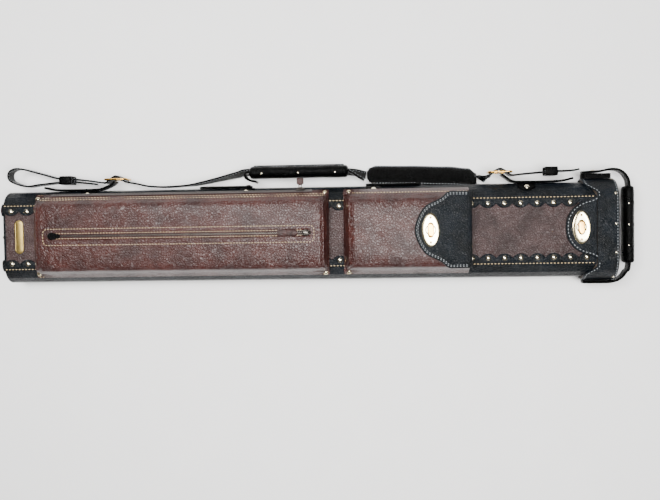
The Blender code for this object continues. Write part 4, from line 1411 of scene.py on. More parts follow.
@dataclass
class FlankZip:
    """The zip on the long pocket's upper flank."""

    place: tuple[float, float] = (0.0588, 0.0665)
    lean: float = math.atan2(0.0035, 0.009)
    low: float = -0.357
    high: float = 0.0135
    slider_x: float = -0.0022
    pitch: float = 0.0026

    @property
    def out(self) -> Vector:
        """The flank's outward normal."""
        return Vector((0, math.cos(self.lean), math.sin(self.lean)))

    @property
    def up(self) -> Vector:
        """The direction up the flank."""
        return Vector((0, -math.sin(self.lean), math.cos(self.lean)))

    def at(self, x: float, rise: float, lift: float) -> Vector:
        """A point at X, at a distance up the flank and a height over it."""
        return Vector((x, *self.place)) + self.up * rise + self.out * lift

    def build(self) -> None:
        """Makes the tape, the teeth, the slider and the pull."""
        rows = []
        for x in [self.low + (self.high - self.low) * i / 60 for i in range(61)]:
            rows.append([self.at(x, y, z) for y, z in ((-0.0046, 0.0002), (-0.0042, 0.0012),
                (-0.002, 0.0015), (0.002, 0.0015), (0.0042, 0.0012), (0.0046, 0.0002))])
        tape = piece_from("flank_zip_tape", closed_skin(rows), TAPE, CASE, smooth=50)
        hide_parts("top_zip_chain")
        work = bmesh.new()
        for k in range(int((self.high - self.low - 0.004) / (self.pitch / 2))):
            x = self.low + 0.002 + k * self.pitch / 2
            middle = 0.0009 * (1 if k % 2 else -1)
            rows = [[self.at(x - half, middle + y, 0.0013), self.at(x - half * 0.7, middle + y, rise),
                self.at(x + half * 0.7, middle + y, rise), self.at(x + half, middle + y, 0.0013)] for y,
                half, rise in ((-0.0013, 0.0005, 0.0018), (0.0, 0.00058, 0.0024), (0.0013, 0.0005, 0.0018))]
            lofted(rows, closed_rows=True, capped=True, work=work)
        piece_from("flank_zip_teeth", face_outwards(work), GUNMETAL, CASE, smooth=30)
        self.make_slider()
        self.make_pull()

    def make_slider(self) -> None:
        """Makes the slider and its bridge."""
        work = bmesh.new()
        rows = []
        for along, half, top in ((-0.0055, 0.0028, 0.004), (-0.004, 0.004, 0.0046), (0.0, 0.0044, 0.0048),
                (0.0034, 0.004, 0.0046), (0.0055, 0.0016, 0.004)):
            rows.append([self.at(self.slider_x + along, y, z) for y, z in ((-half, 0.0027),
                (-half, top * 0.8), (-half * 0.7, top), (half * 0.7, top), (half, top * 0.8),
                (half, 0.0027))])
        lofted(rows, closed_rows=True, capped=True, work=work)
        arch = curve_through([self.at(self.slider_x + a, 0, h) for a, h in ((-0.004, 0.0044),
            (-0.003, 0.0057), (0.0, 0.0061), (0.003, 0.0057), (0.004, 0.0044))], 4)
        wire(work, arch, 0.0006)
        slider = piece_from("flank_zip_slider_body", face_outwards(work), GUNMETAL, "top_zip_slider",
            smooth=40)
        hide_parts("top_zip_slider")

    def make_pull(self) -> None:
        """Makes the leather pull and its wire loop."""
        root = self.at(self.slider_x, 0, 0.0062)
        work = bmesh.new()
        loop = curve_through([root + Vector(p) for p in ((0.0006, -0.0008, 0.0002), (0.0016, 0.0, 0.0006),
            (0.0018, 0.003, 0.001), (0.0, 0.0042, 0.001), (-0.0018, 0.003, 0.001), (-0.0016, 0.0, 0.0006),
            (-0.0006, -0.0008, 0.0002))], 4)
        wire(work, loop, 0.0005)
        piece_from("flank_zip_pull_loop", face_outwards(work), GUNMETAL, "top_zip_pull", smooth=60)
        rows = []
        for share in [i / 14 for i in range(15)]:
            half = 0.0022 + 0.0026 * ease(share * 4) * ease((1.04 - share) * 7)
            rows.append([root + Vector((half * u, 0.0026 + 0.0104 * share, 0.001 + 0.0008 * v)) for u,
                v in ((-1, -0.4), (-0.8, -1), (0.8, -1), (1, -0.4), (1, 0.4), (0.7, 1), (-0.7, 1),
                (-1, 0.4))])
        pull = piece_from("flank_zip_pull_strip", closed_skin(rows), PULL_BROWN, "top_zip_pull", smooth=50)
        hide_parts("top_zip_pull")


# ---------------------------------------------------------------- turn locks and flaps
@dataclass
class TurnLock:
    """A brass turn lock: a dished oval plate on the flap and a knob on a post under it."""

    name: str
    centre: tuple[float, float]
    plate_z: float  # underside of the plate
    bar_z: float  # underside of the knob
    floor: float  # the leather under the flap
    flap: str  # bodies
    toggle: str
    plate_size: tuple[float, float] = (0.024, 0.046)
    slot: tuple[float, float] = (0.008, 0.021)
    knob: tuple[float, float] = (0.0096, 0.019)
    knob_height: float = 0.0042

    def build(self) -> None:
        """Makes the plate, its screws, the post and the knob."""
        self.make_plate()
        self.make_post()
        self.make_knob()

    def make_plate(self) -> None:
        """Makes the plate on the flap: rolled rim, flat face, raised ring round the post."""
        x, y = self.centre
        wide, long = self.plate_size
        z = self.plate_z
        work = bmesh.new()
        rings = []
        for inset, lift in ((0.0, 0.0), (-0.0001, 0.0006), (0.0003, 0.0012), (0.0011, 0.0015),
                (0.0019, 0.0012), (0.003, 0.001), (0.0052, 0.00095)):
            rings.append([Vector((px, py, z + lift)) for px, py in oval((x, y),
                (wide - 2 * inset, long - 2 * inset * 1.05), 64, 1.9)])
        slot = self.slot_ring(64, self.slot)
        rings.append([Vector((px, py, z + 0.00095)) for px, py in slot])
        rings.append([Vector((px, py, z)) for px, py in slot])
        lofted(rings, closed_rows=True, work=work, close_loft=True)
        plate = piece_from(self.name + "_lock_face", face_outwards(work), BRASS, self.flap, smooth=32)
        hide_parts(self.name + "_lock_plate")
        detail = bmesh.new()
        lofted([[Vector((x + r * math.cos(a), y + r * math.sin(a), z + h))
            for a in (2 * math.pi * k / 48 for k in range(48))] for r, h in ((0.0074, 0.0009),
            (0.0073, 0.0016), (0.0069, 0.0019), (0.0064, 0.0017), (0.006, 0.0009))], closed_rows=True,
            work=detail, close_loft=True)
        for side in (1, -1):
            turned([(0.0, 0.001), (0.0017, 0.001), (0.0017, 0.0014), (0.0012, 0.0018), (0.0, 0.0019)],
                Vector((x, y + side * 0.0168, z)), Vector((0, 0, 1)), 20, detail)
        piece_from(self.name + "_lock_ring", face_outwards(detail), GOLD, self.flap, smooth=40)
        # Painted shade: the screw slots are not cut into the heads. They are thin dark gunmetal bars laid on
        # top of the heads, dark where the grooves would be shaded.
        cross = bmesh.new()
        for side in (1, -1):
            slit = [(x - 0.0012, y + side * 0.0168 - 0.00022), (x + 0.0012, y + side * 0.0168 - 0.00022),
                (x + 0.0012, y + side * 0.0168 + 0.00022), (x - 0.0012, y + side * 0.0168 + 0.00022)]
            lofted([[Vector((px, py, z + h)) for px, py in slit] for h in (0.0016, 0.00195)],
                closed_rows=True, capped=True, work=cross)
        piece_from(self.name + "_lock_screw_slit_shade", face_outwards(cross), GUNMETAL, self.flap)

    def slot_ring(self, count: int, size: tuple[float, float]) -> list[tuple[float, float]]:
        """Lists points round the slot at the same angles as the plate's outline."""
        points = []
        reach = size[1] / 2 - size[0] / 2
        for k in range(count):
            t = 2 * math.pi * k / count
            px, py = size[0] / 2 * math.cos(t), size[0] / 2 * math.sin(t)
            blend = min(abs(math.sin(t)) * 3, 1.0)
            points.append((self.centre[0] + px, self.centre[1] + py + math.copysign(reach, math.sin(t))
                * blend))
        return points

    def make_post(self) -> None:
        """Makes the base under the flap: an oval foot and the post."""
        x, y = self.centre
        top = self.bar_z - 0.0003
        work = lofted([[Vector((px, py, z)) for px, py in oval((x, y), size, 40)] for size,
            z in (((0.012, 0.024), self.floor), ((0.012, 0.024), self.floor + 0.0006),
            ((0.0108, 0.0228), self.floor + 0.001), ((0.006, 0.006), self.floor + 0.0012),
            ((0.0056, 0.0056), self.floor + 0.0016), ((0.0056, 0.0056), top - 0.0002),
            ((0.005, 0.005), top))], closed_rows=True, capped=True)
        post = piece_from(self.name + "_lock_post", face_outwards(work), BRASS, CASE, smooth=35)
        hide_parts(self.name + "_lock_base")

    def make_knob(self) -> None:
        """Makes the knob: waisted where the fingers grip it and rounded on top."""
        x, y = self.centre
        z, high = self.bar_z, self.knob_height
        wide, long = self.knob
        rows = []
        for share, lift in ((0.8, 0.0), (0.86, 0.1), (0.8, 0.28), (0.84, 0.5), (0.98, 0.72), (1.0, 0.84),
                (0.95, 0.94), (0.82, 0.99), (0.55, 1.0)):
            ring = []
            for k in range(48):
                t = 2 * math.pi * k / 48
                waist = 1.0 - 0.2 * (1 - abs(math.sin(t))) ** 2 * (1.0 if lift < 0.9 else 0.6)
                px = wide / 2 * share * waist * math.copysign(abs(math.cos(t)) ** 0.8, math.cos(t))
                py = long / 2 * (0.92 + 0.08 * share) * share ** 0.4 * math.sin(t)
                ring.append(Vector((x + px, y + py, z + high * lift)))
            rows.append(ring)
        knob = piece_from(self.name + "_lock_knob", closed_skin(rows), GOLD, self.toggle, smooth=45)
        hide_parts(self.name + "_lock_toggle")


def flap_outline(half: Sequence[tuple[float, float]], middle: float, steps: int = 10) -> list[Vector]:
    """Draws a flap's outline, hinge side first.

    Args:
        half: (x, half width) stops from the hinge to the tip.
        middle: Y of its middle line.
        steps: Points made for each stretch.

    Returns:
        The outline from the upper hinge corner round the tip to the lower one.
    """
    upper = [(x, middle + y, 0.0) for x, y in half]
    lower = [(x, middle - y, 0.0) for x, y in reversed(half[:-1])]
    return curve_through(upper + lower, steps)


def flap_sheet(outline: Sequence[Vector], height: Callable[[float, float], float], thickness: float,
        slot: Sequence[tuple[float, float]], root_x: float) -> bmesh.types.BMesh:
    """Makes a leather flap with a slot: rows run from its edge to the slot.

    Args:
        outline: Its open outline from one hinge corner to the other.
        height: Gives the underside's height at (x, y).
        thickness: Its thickness.
        slot: The slot's outline.
        root_x: X of the hinge.

    Returns:
        The mesh.
    """
    low_y, high_y = outline[-1].y, outline[0].y
    back = [Vector((root_x, low_y + (high_y - low_y) * k / 24, 0)) for k in range(1, 24)]
    loop = list(outline) + back
    centre = Vector((sum(p[0] for p in slot) / len(slot), sum(p[1] for p in slot) / len(slot), 0))
    around = sorted(((math.atan2(py - centre.y, px - centre.x), px, py) for px, py in slot))
    inner = []
    for point in loop:
        angle = math.atan2(point.y - centre.y, point.x - centre.x)
        near = min(around, key=lambda a: abs(math.remainder(a[0] - angle, 2 * math.pi)))
        inner.append(Vector((near[1], near[2], 0)))
    rings_top, rings_low = [], []
    half = thickness / 2
    stops = ((0.0, -0.0), (0.012, 0.55), (0.03, 0.86), (0.06, 1.0), (0.15, 1.0), (0.3, 1.0), (0.5, 1.0),
        (0.7, 1.0), (0.88, 1.0), (1.0, 1.0))
    for share, full in stops:
        ring_top, ring_low = [], []
        for edge, slot_point in zip(loop, inner):
            p = edge.lerp(slot_point, share)
            base = height(p.x, p.y)
            ring_top.append(Vector((p.x, p.y, base + half + half * full)))
            ring_low.append(Vector((p.x, p.y, base + half - half * full)))
        rings_top.append(ring_top)
        rings_low.append(ring_low)
    return lofted(list(reversed(rings_low[1:])) + rings_top, closed_rows=True, close_loft=True)


@dataclass
class LidFlap:
    """The lid's shaped front flap, sewn round its edge."""

    middle: float = 0.003
    low: float = 0.0623
    thickness: float = 0.0023
    root_x: float = LID_FRONT_X - 0.0003
    half: tuple[tuple[float, float], ...] = ((LID_FRONT_X - 0.0003, 0.0435), (0.397, 0.0395),
        (0.384, 0.0355), (0.3715, 0.0275), (0.363, 0.0145), (0.3607, 0.0))
    slot: tuple[float, float] = (0.008, 0.021)
    lock_centre: tuple[float, float] = (0.3813, 0.0033)

    def build(self) -> None:
        """Makes the flap, its row of stitches and its lock."""
        outline = flap_outline(self.half, self.middle)
        slot = rounded_slot(self.lock_centre, self.slot)
        work = flap_sheet(outline, lambda x, y: self.low, self.thickness, slot, self.root_x)
        flap = piece_from("lid_flap_leather", face_outwards(work), BLACK, "lid_flap", smooth=50)
        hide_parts("lid_flap")
        stitches = bmesh.new()
        top = self.low + self.thickness
        row = [p + Vector((0, 0, top)) for p in inset_open(outline, 0.003)]
        STITCH.add(stitches, row[2:-2], upwards)
        piece_from("lid_flap_stitches", stitches, GREY_THREAD, "lid_flap", smooth=80)
        TurnLock("lid", self.lock_centre, 0.0649, 0.0671, SECTION.front + 0.0003, "lid_flap",
            "lid_lock_toggle").build()


def inset_open(outline: Sequence[Vector], inwards: float) -> list[Vector]:
    """Moves an open outline in the XY plane towards its inside, which lies to its left.

    Args:
        outline: The outline's points.
        inwards: Distance.

    Returns:
        The moved points.
    """
    moved = []
    for i, here in enumerate(outline):
        way = (outline[min(i + 1, len(outline) - 1)] - outline[max(i - 1, 0)]).normalized()
        moved.append(here + Vector((-way.y, way.x, 0)) * inwards)
    return moved


@dataclass
class PocketFlap:
    """The small pocket's black flap: folded over the pocket's open end and shaped at its tip."""

    middle: float = 0.0028
    low: float = 0.0882
    thickness: float = 0.0023
    outer_x: float = 0.2316
    foot_z: float = 0.0626
    fold: float = 0.0045  # radius of the fold over the pocket's rim
    half: tuple[tuple[float, float], ...] = ((0.227, 0.052), (0.214, 0.0521), (0.2, 0.0518),
        (0.1915, 0.045), (0.184, 0.0405), (0.169, 0.0325), (0.159, 0.018), (0.1541, 0.0))
    slot: tuple[float, float] = (0.008, 0.021)
    lock_centre: tuple[float, float] = (0.1755, 0.0028)

    def height(self, x: float, y: float) -> float:
        """Height of the flap's underside: it droops a little over the pocket's shoulders."""
        side = max(abs(y - self.middle) - 0.036, 0.0)
        return self.low - 8.0 * side ** 2

    def build(self) -> None:
        """Makes the flap, its side, its stitches and its lock."""
        outline = flap_outline(self.half, self.middle)
        slot = rounded_slot(self.lock_centre, self.slot)
        work = flap_sheet(outline, self.height, self.thickness, slot, self.half[0][0])
        flap = piece_from("pocket_flap_leather", face_outwards(work), BLACK, "pocket_flap", smooth=50)
        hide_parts("pocket_flap")
        self.make_side()
        self.sew(outline)
        TurnLock("pocket", self.lock_centre, 0.0908, 0.093, 0.0869, "pocket_flap",
            "pocket_lock_toggle").build()

    def make_side(self) -> None:
        """Makes the folded part that hangs in front of the pocket's open end."""
        rows = []
        start_x = self.half[0][0]
        path = [Vector((start_x - 0.001, 0, self.low + self.thickness / 2))]
        bend = Vector((self.outer_x - self.thickness / 2 - self.fold, 0, self.low + self.thickness / 2
            - self.fold))
        for k in range(9):
            t = math.radians(90 - 90 * k / 8)
            path.append(bend + Vector((self.fold * math.cos(t), 0, self.fold * math.sin(t))))
        count = 14
        for k in range(1, count + 1):
            path.append(Vector((self.outer_x - self.thickness / 2, 0, bend.z
                + (self.foot_z + 0.001 - bend.z) * k / count)))
        for i, here in enumerate(path):
            way = (path[min(i + 1, len(path) - 1)] - path[max(i - 1, 0)]).normalized()
            out = Vector((-way.z, 0, way.x))
            ring_top, ring_low = [], []
            half_width = 0.052 - 0.0035 * ease((self.low - here.z) / 0.024)
            for k in range(41):
                y = self.middle + half_width * (2 * k / 40 - 1)
                droop = 8.0 * max(abs(y - self.middle) - 0.036, 0.0) ** 2 * (1
                    - ease((self.low - here.z) / 0.008))
                edge = min(k, 40 - k)
                thick = self.thickness / 2 * (0.35 if edge == 0 else 0.85 if edge == 1 else 1.0)
                base = here + Vector((0, y, -droop))
                ring_top.append(base + out * thick)
                ring_low.append(base - out * thick)
            rows.append(ring_top + list(reversed(ring_low)))
        piece_from("pocket_flap_side", closed_skin(rows), BLACK, "pocket_flap", smooth=50)

    def sew(self, outline: Sequence[Vector]) -> None:
        """Sews two rows round the flap's edge."""
        work = bmesh.new()
        for inwards in (0.0026, 0.0044):
            row = inset_open(outline, inwards)
            lifted = [Vector((p.x, p.y, self.height(p.x, p.y) + self.thickness)) for p in row]
            FINE_STITCH.add(work, lifted[1:-1], upwards)
        piece_from("pocket_flap_stitches", work, GREY_THREAD, "pocket_flap", smooth=80)


# ---------------------------------------------------------------- lid
@dataclass
class Lid:
    """The slide-off lid: leather over a board shell, with a set-back front edge, studs and stitches."""

    wall: float = 0.0019

    def edge_x(self, y: float) -> float:
        """X of the mouth's edge: set back in front of the flap, forward at the two ears."""
        return LID_FRONT_X - 0.016 * ease((abs(y) - 0.05) / 0.0145)

    def build(self) -> None:
        """Makes the cover, studs and stitches, and dresses the shell and the foam."""
        dress_node("lid_shell", FIBRE)
        dress_node("lid_foam", FLOCK)
        self.make_cover()
        self.sew()
        self.drive_studs()

    def ring(self, inset: float, steps: int = 36) -> list[tuple[float, float]]:
        """Lists (y, z) points round the cover at a depth under its outer face."""
        radius = SECTION.middle - inset
        half = [(SECTION.flat * (1 - 2 * k / 24), SECTION.middle + radius) for k in range(24)]
        half += [(-SECTION.flat - radius * math.sin(math.pi * k / steps), SECTION.middle + radius
            * math.cos(math.pi * k / steps)) for k in range(steps)]
        return half + [(-y, 2 * SECTION.middle - z) for y, z in half]

    def make_cover(self) -> None:
        """Makes the leather cover with a rolled mouth and a rounded end."""
        outer = []
        for share in [i / 12 for i in range(13)]:
            ring = []
            for (y, z) in self.ring(0.0):
                start = self.edge_x(y) + 0.0008
                ring.append(Vector((start + (LID_END_X - 0.003 - start) * share, y, z)))
            outer.append(ring)
        end = [[Vector((LID_END_X - back, y, z)) for y, z in self.ring(inset)] for inset,
            back in ((0.0003, 0.0018), (0.0011, 0.0007), (0.0022, 0.0001), (0.005, 0.0), (0.015, 0.0),
            (0.027, 0.0))]
        mouth = []
        for inset, forward in ((0.0004, 0.0002), (0.001, 0.0), (self.wall, 0.0003)):
            mouth.append([Vector((self.edge_x(y_out) + forward, y, z)) for (y, z),
                (y_out, _) in zip(self.ring(inset), self.ring(0.0))])
        inner = []
        for share in (0.1, 0.5, 1.0):
            inner.append([Vector((self.edge_x(y_out) + 0.0008 + (LID_SHELL_X + 0.0003 - self.edge_x(y_out)
                - 0.0008) * share, y, z)) for (y, z), (y_out, _) in zip(self.ring(self.wall),
                self.ring(0.0))])
        rows = list(reversed(inner)) + list(reversed(mouth)) + outer + end
        cover = piece_from("lid_cover_leather", closed_skin(rows), BLACK, LID, smooth=50)
        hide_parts("lid_cover")

    def surface(self, x: float, y: float) -> Vector:
        """A point on the front of the cover."""
        beyond = max(abs(y) - SECTION.flat, 0.0)
        return Vector((x, y, SECTION.middle + math.sqrt(max(SECTION.middle ** 2 - beyond ** 2, 1e-9))))

    def normal(self, place: Vector) -> Vector:
        """The cover's outward normal."""
        return skin_normal(place)

    def sew(self) -> None:
        """Sews one row along the end and one along the mouth's edge."""
        work = bmesh.new()
        path = [self.surface(LID_END_X - 0.003, -0.0695 + 0.139 * k / 60) for k in range(61)]
        FINE_STITCH.add(work, path, self.normal)
        for side in (1, -1):
            mouth = [self.surface(self.edge_x(y) + 0.003, side * y) for y in (0.0445 + 0.025 * k / 30
                for k in range(31))]
            FINE_STITCH.add(work, mouth, self.normal)
        piece_from("lid_stitches", work, GREY_THREAD, LID, smooth=80)

    def drive_studs(self) -> None:
        """Drives the row of studs along the end."""
        places = []
        for y in (0.069, 0.0489, 0.0074, -0.0319, -0.0661):
            place = self.surface(LID_END_X - 0.005, y)
            places.append((place - self.normal(place) * 0.0002, self.normal(place)))
        Stud(radius=0.0019, height=0.0012).drive("lid_studs", places, LID)


@dataclass
class EndHandle:
    """The lid's end handle: a sewn strap held by two rivets, with a wrapped grip."""

    pivot_x: float = 0.405
    width: float = 0.02
    thickness: float = 0.003
    grip_x: float = 0.453
    grip_size: tuple[float, float] = (0.0165, 0.026)
    grip_y: tuple[float, float] = (-0.0475, 0.0595)
    pad_x: tuple[float, float] = (0.388, 0.429)
    path: tuple[tuple[float, float], ...] = ((0.389, 0.0795), (0.412, 0.0805), (0.428, 0.0832),
        (0.44, 0.0815), (0.449, 0.0735), (0.453, 0.06), (0.453, 0.02), (0.453, -0.048), (0.448, -0.06),
        (0.44, -0.069), (0.428, -0.0735), (0.412, -0.074), (0.389, -0.074))

    def build(self) -> None:
        """Makes the strap, the grip and the rivets."""
        middle = SECTION.middle
        path = curve_through([(x, y, middle) for x, y in self.path], 9)
        rows = ribbon_rows(path, [0.0] * len(path), self.width, self.thickness, 0.0, lambda t: 0.55 + 0.45
            * ease(min(t, 1 - t) * 30))
        strap = piece_from("end_handle_strap_leather", closed_skin(rows), STRAP, "end_handle", smooth=50)
        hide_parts("end_handle_strap")
        work = bmesh.new()
        for edge in (1, -1):
            row, outs = strap_row(path, edge * (self.width / 2 - 0.0024), self.thickness / 2)
            add_row(work, row, outs, FINE_STITCH, lambda p: not self.grip_y[0] < p.y < self.grip_y[1]
                or p.x < 0.44)
        piece_from("end_handle_stitches", work, GREY_THREAD, "end_handle", smooth=80)
        grip = Grip("end_handle_grip", "Y", (self.grip_x, SECTION.middle), self.grip_size, self.grip_y,
            "end_handle", (0.035, 0.006, -0.023))
        grip.build()
        self.make_rivets()

    def make_rivets(self) -> None:
        """Makes the layered leather pads on the lid that the strap is riveted to, and the rivets' caps."""
        for name, side, rise in (("upper", 1, 0.0068), ("lower", -1, 0.0014)):
            rows = []
            for k in range(31):
                share = k / 30
                half = 0.0096 * math.sqrt(max(1 - max(1 - min(share, 1 - share) * 8, 0) ** 2, 0.1))
                ring = [(-1, 0.0), (-1, 0.7), (-0.9, 1.0), (0.9, 1.0), (1, 0.7), (1, 0.0)]
                rows.append([Vector((self.pad_x[0] + (self.pad_x[1] - self.pad_x[0]) * share, side
                    * (0.0708 + rise * v), SECTION.middle + half * u)) for u, v in ring])
            pad = piece_from("end_pad_" + name, closed_skin(rows), STRAP, LID, smooth=40)
            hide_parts("end_handle_rivet_" + name)
        work = bmesh.new()
        for y, way in ((0.082, 1), (-0.0755, -1)):
            Stud(radius=0.0026, height=0.0012).add(work, Vector((self.pivot_x, y, SECTION.middle)),
                Vector((0, way, 0)))
        piece_from("end_handle_caps", face_outwards(work), NICKEL, "end_handle", smooth=50)


# ---------------------------------------------------------------- straps and handles
def strap_row(path: Sequence[Vector], offset: float, lift: float,
        leans: Sequence[float] | None = None) -> tuple[list[Vector], list[Vector]]:
    """Finds a line along a strap's outer face.

    Args:
        path: The strap's middle.
        offset: Distance from its middle line, across its width.
        lift: Distance out from its middle.
        leans: The strap's lean at each point, or None for upright.

    Returns:
        The points and the outward normals.
    """
    row, outs = [], []
    for i, here in enumerate(path):
        lean = leans[i] if leans else 0.0
        way = (path[min(i + 1, len(path) - 1)] - path[max(i - 1, 0)]).normalized()
        across = Vector((0, math.sin(lean), math.cos(lean)))
        across = (across - way * across.dot(way)).normalized()
        out = across.cross(way).normalized()
        row.append(here + across * offset + out * lift)
        outs.append(out)
    return row, outs


def add_row(work: bmesh.types.BMesh, row: Sequence[Vector], outs: Sequence[Vector], stitching: Stitching,
        shown: Callable[[Vector], bool] | None = None) -> None:
    """Adds stitches along a strap's row, where they show.

    Args:
        work: The mesh that they are added to.
        row: Points of the row.
        outs: Normals of the row.
        stitching: The kind of stitch.
        shown: Says whether a stitch at a place is made, or None for all.
    """
    def normal(place: Vector) -> Vector:
        nearest = min(range(len(row)), key=lambda i: (row[i] - place).length_squared)
        return outs[nearest]

    run: list[Vector] = []
    for place in [*row, None]:
        if place is not None and (shown is None or shown(place)):
            run.append(place)
        elif len(run) > 1:
            stitching.add(work, run, normal)
            run = []
        else:
            run = []


@dataclass
class Grip:
    """A padded leather sleeve round a strap, closed along one side by a flange with snaps."""

    name: str
    axis: str  # X or Y, the way it runs
    centre: tuple[float, float]
    size: tuple[float, float]
    span: tuple[float, float]
    body: str
    snaps: tuple[float, ...]

    def at(self, along: float, out: float, z: float) -> Vector:
        """A point at a distance along the grip, outwards from its middle and at a height."""
        if self.axis == "X":
            return Vector((along, self.centre[0] + out, z))
        return Vector((self.centre[0] + out, along, z))

    @property
    def out(self) -> Vector:
        """The direction away from the case."""
        return Vector((0, 1, 0)) if self.axis == "X" else Vector((1, 0, 0))

    def build(self) -> None:
        """Makes the sleeve, its flange, the snaps and the stitches."""
        wide, high = self.size
        low, top = self.span
        length = top - low
        rows = []
        count = 72
        ends = ((0.0, 0.66), (0.004, 0.8), (0.012, 0.93), (0.03, 1.0), (0.97, 1.0), (0.988, 0.93),
            (0.996, 0.8), (1.0, 0.66))
        flat_end = [(0.0, 0.3), (0.0, 0.52)] + [(share, table(ends, share))
            for share in [i / count for i in range(count + 1)]] + [(1.0, 0.52), (1.0, 0.3)]
        for share, full in flat_end:
            along = low + length * share
            ring = []
            for k in range(36):
                t = 2 * math.pi * k / 36
                c, s = math.cos(t), math.sin(t)
                out = wide / 2 * math.copysign(abs(c) ** 0.85, c) * full
                z = high / 2 * math.copysign(abs(s) ** 0.92, s) * full
                wrinkle = noise.noise(Vector((along * 55, out * 90, z * 90))) * 0.00055 * (full > 0.6)
                stretch = 1 + wrinkle / (wide / 2)
                if c > 0:
                    out *= 0.86
                ring.append(self.at(along, out * stretch, self.centre[1] + z * stretch))
            rows.append(ring)
        sleeve = piece_from(self.name + "_sleeve", closed_skin(rows), STRAP, self.body, smooth=60)
        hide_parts(self.name)
        self.make_flange()
        self.make_snaps()

    def make_flange(self) -> None:
        """Makes the sewn flange along the outer side."""
        low, top = self.span
        wide = self.size[0] / 2
        rows = []
        for share in [i / 60 for i in range(61)]:
            along = low + 0.0015 + (top - low - 0.003) * share
            reach = wide * (0.3 + 0.7 * ease(min(share, 1 - share) * 26))
            ripple = noise.noise(Vector((along * 60, 2.0, 0.0))) * 0.0004
            z = self.centre[1] + ripple
            rows.append([self.at(along, a * 1.0, z + b) for a, b in ((0.003, -0.006),
                (reach * 0.86, -0.0032), (reach, -0.0018), (reach * 1.02, 0.0), (reach, 0.0018),
                (reach * 0.86, 0.0032), (0.003, 0.006))])
        piece_from(self.name + "_flange", closed_skin(rows), BLACK, self.body, smooth=60)
        work = bmesh.new()
        normal = (self.out * 0.55 + Vector((0, 0, 0.83))).normalized()
        row = [self.at(low + 0.008 + (top - low - 0.016) * k / 40, wide * 0.82, self.centre[1] + 0.0036)
            for k in range(41)]
        FINE_STITCH.add(work, row, lambda p: normal)
        piece_from(self.name + "_stitches", work, GREY_THREAD, self.body, smooth=80)

    def make_snaps(self) -> None:
        """Makes the leather-covered snaps on the flange and the bright eyelet of each."""
        humps, eyelets = bmesh.new(), bmesh.new()
        wide, high = self.size
        for along in self.snaps:
            turned([(0.0, 0.0), (0.006, 0.0), (0.0056, 0.0007), (0.0042, 0.0012), (0.002, 0.00145),
                (0.0, 0.0015)], self.at(along, wide * 0.4, self.centre[1]), self.out, 24, humps)
            place = self.at(along, -wide * 0.12, self.centre[1] + high * 0.475)
            turned([(0.0, 0.0), (0.0013, 0.0), (0.0013, 0.0004), (0.0009, 0.0007), (0.0, 0.0008)], place,
                Vector((0, 0, 1)), 16, eyelets)
        piece_from(self.name + "_snaps", face_outwards(humps), BLACK, self.body, smooth=50)
        piece_from(self.name + "_eyelets", face_outwards(eyelets), NICKEL, self.body, smooth=50)


@dataclass
class CarryHandle:
    """The carrying handle: a strap sewn under two riveted anchors, with a wrapped grip."""

    width: float = 0.02
    thickness: float = 0.003
    grip_y: float = 0.0888
    grip_size: tuple[float, float] = (0.019, 0.0255)
    grip_x: tuple[float, float] = (-0.078, 0.063)
    side_y: float = 0.0663  # underside of the anchors
    anchors: tuple[tuple[str, float, float, float], ...] = (("left", -0.151, -0.0745, -0.0805),
        ("right", 0.088, 0.1647, 0.099))
    path: tuple[tuple[float, float], ...] = ((-0.0675, 0.074), (-0.0705, 0.0754), (-0.0765, 0.0766),
        (-0.0825, 0.08), (-0.0848, 0.0848), (-0.082, 0.0884), (-0.074, 0.0888), (-0.01, 0.0888),
        (0.056, 0.0888), (0.0665, 0.0866), (0.077, 0.0798), (0.0855, 0.0745))

    def build(self) -> None:
        """Makes the strap, the grip, the anchors and their rivets."""
        path = curve_through([(x, y, SECTION.middle) for x, y in self.path], 9)
        rows = ribbon_rows(path, [0.0] * len(path), self.width, self.thickness)
        strap = piece_from("handle_strap_leather", closed_skin(rows), STRAP, "carry_handle", smooth=50)
        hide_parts("handle_strap")
        work = bmesh.new()
        for edge in (1, -1):
            row, outs = strap_row(path, edge * (self.width / 2 - 0.0024), self.thickness / 2)
            add_row(work, row, outs, FINE_STITCH, lambda p: not self.grip_x[0] < p.x < self.grip_x[1])
        piece_from("handle_stitches", work, GREY_THREAD, "carry_handle", smooth=80)
        Grip("handle_grip", "X", (self.grip_y, SECTION.middle), self.grip_size, self.grip_x, "carry_handle",
            (-0.06, -0.008, 0.045)).build()
        for name, low, high, rivet_x in self.anchors:
            self.make_anchor(name, low, high, rivet_x)

    def make_anchor(self, name: str, low: float, high: float, rivet_x: float) -> None:
        """Makes one anchor: a sewn strap along the side, with a lobe that laps the front.

        Args:
            name: left or right.
            low: X of its low end.
            high: X of its high end.
            rivet_x: X of its rivets.
        """
        y = self.side_y + self.thickness / 2
        path = [Vector((low + (high - low) * k / 40, y, SECTION.middle)) for k in range(41)]
        rows = ribbon_rows(path, [0.0] * 41, self.width, self.thickness, 0.0,
            lambda t: math.sqrt(max(1 - (1 - min(min(t, 1 - t) * 9, 1)) ** 2, 0.04)))
        anchor = piece_from("handle_anchor_" + name + "_strap", closed_skin(rows), STRAP, CASE, smooth=50)
        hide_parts("handle_anchor_" + name)
        work = bmesh.new()
        for edge in (1, -1):
            row, outs = strap_row(path[3:-3], edge * (self.width / 2 - 0.0022), self.thickness / 2)
            add_row(work, row, outs, FINE_STITCH)
        piece_from("handle_anchor_" + name + "_stitches", work, GREY_THREAD, CASE, smooth=80)
        pin = turned([(0.0, 0.0003), (0.0032, 0.0003), (0.0032, 0.0034), (0.0034, 0.0036), (0.003, 0.0042),
            (0.0018, 0.0046), (0.0, 0.0047)], Vector((rivet_x, self.side_y, SECTION.middle)),
            Vector((0, 1, 0)))
        rivet = piece_from("handle_rivet_" + name + "_head", face_outwards(pin), GUNMETAL, CASE, smooth=35)
        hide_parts("handle_rivet_" + name)
        side_lobe("handle_lobe_" + name, rivet_x, 0.011)


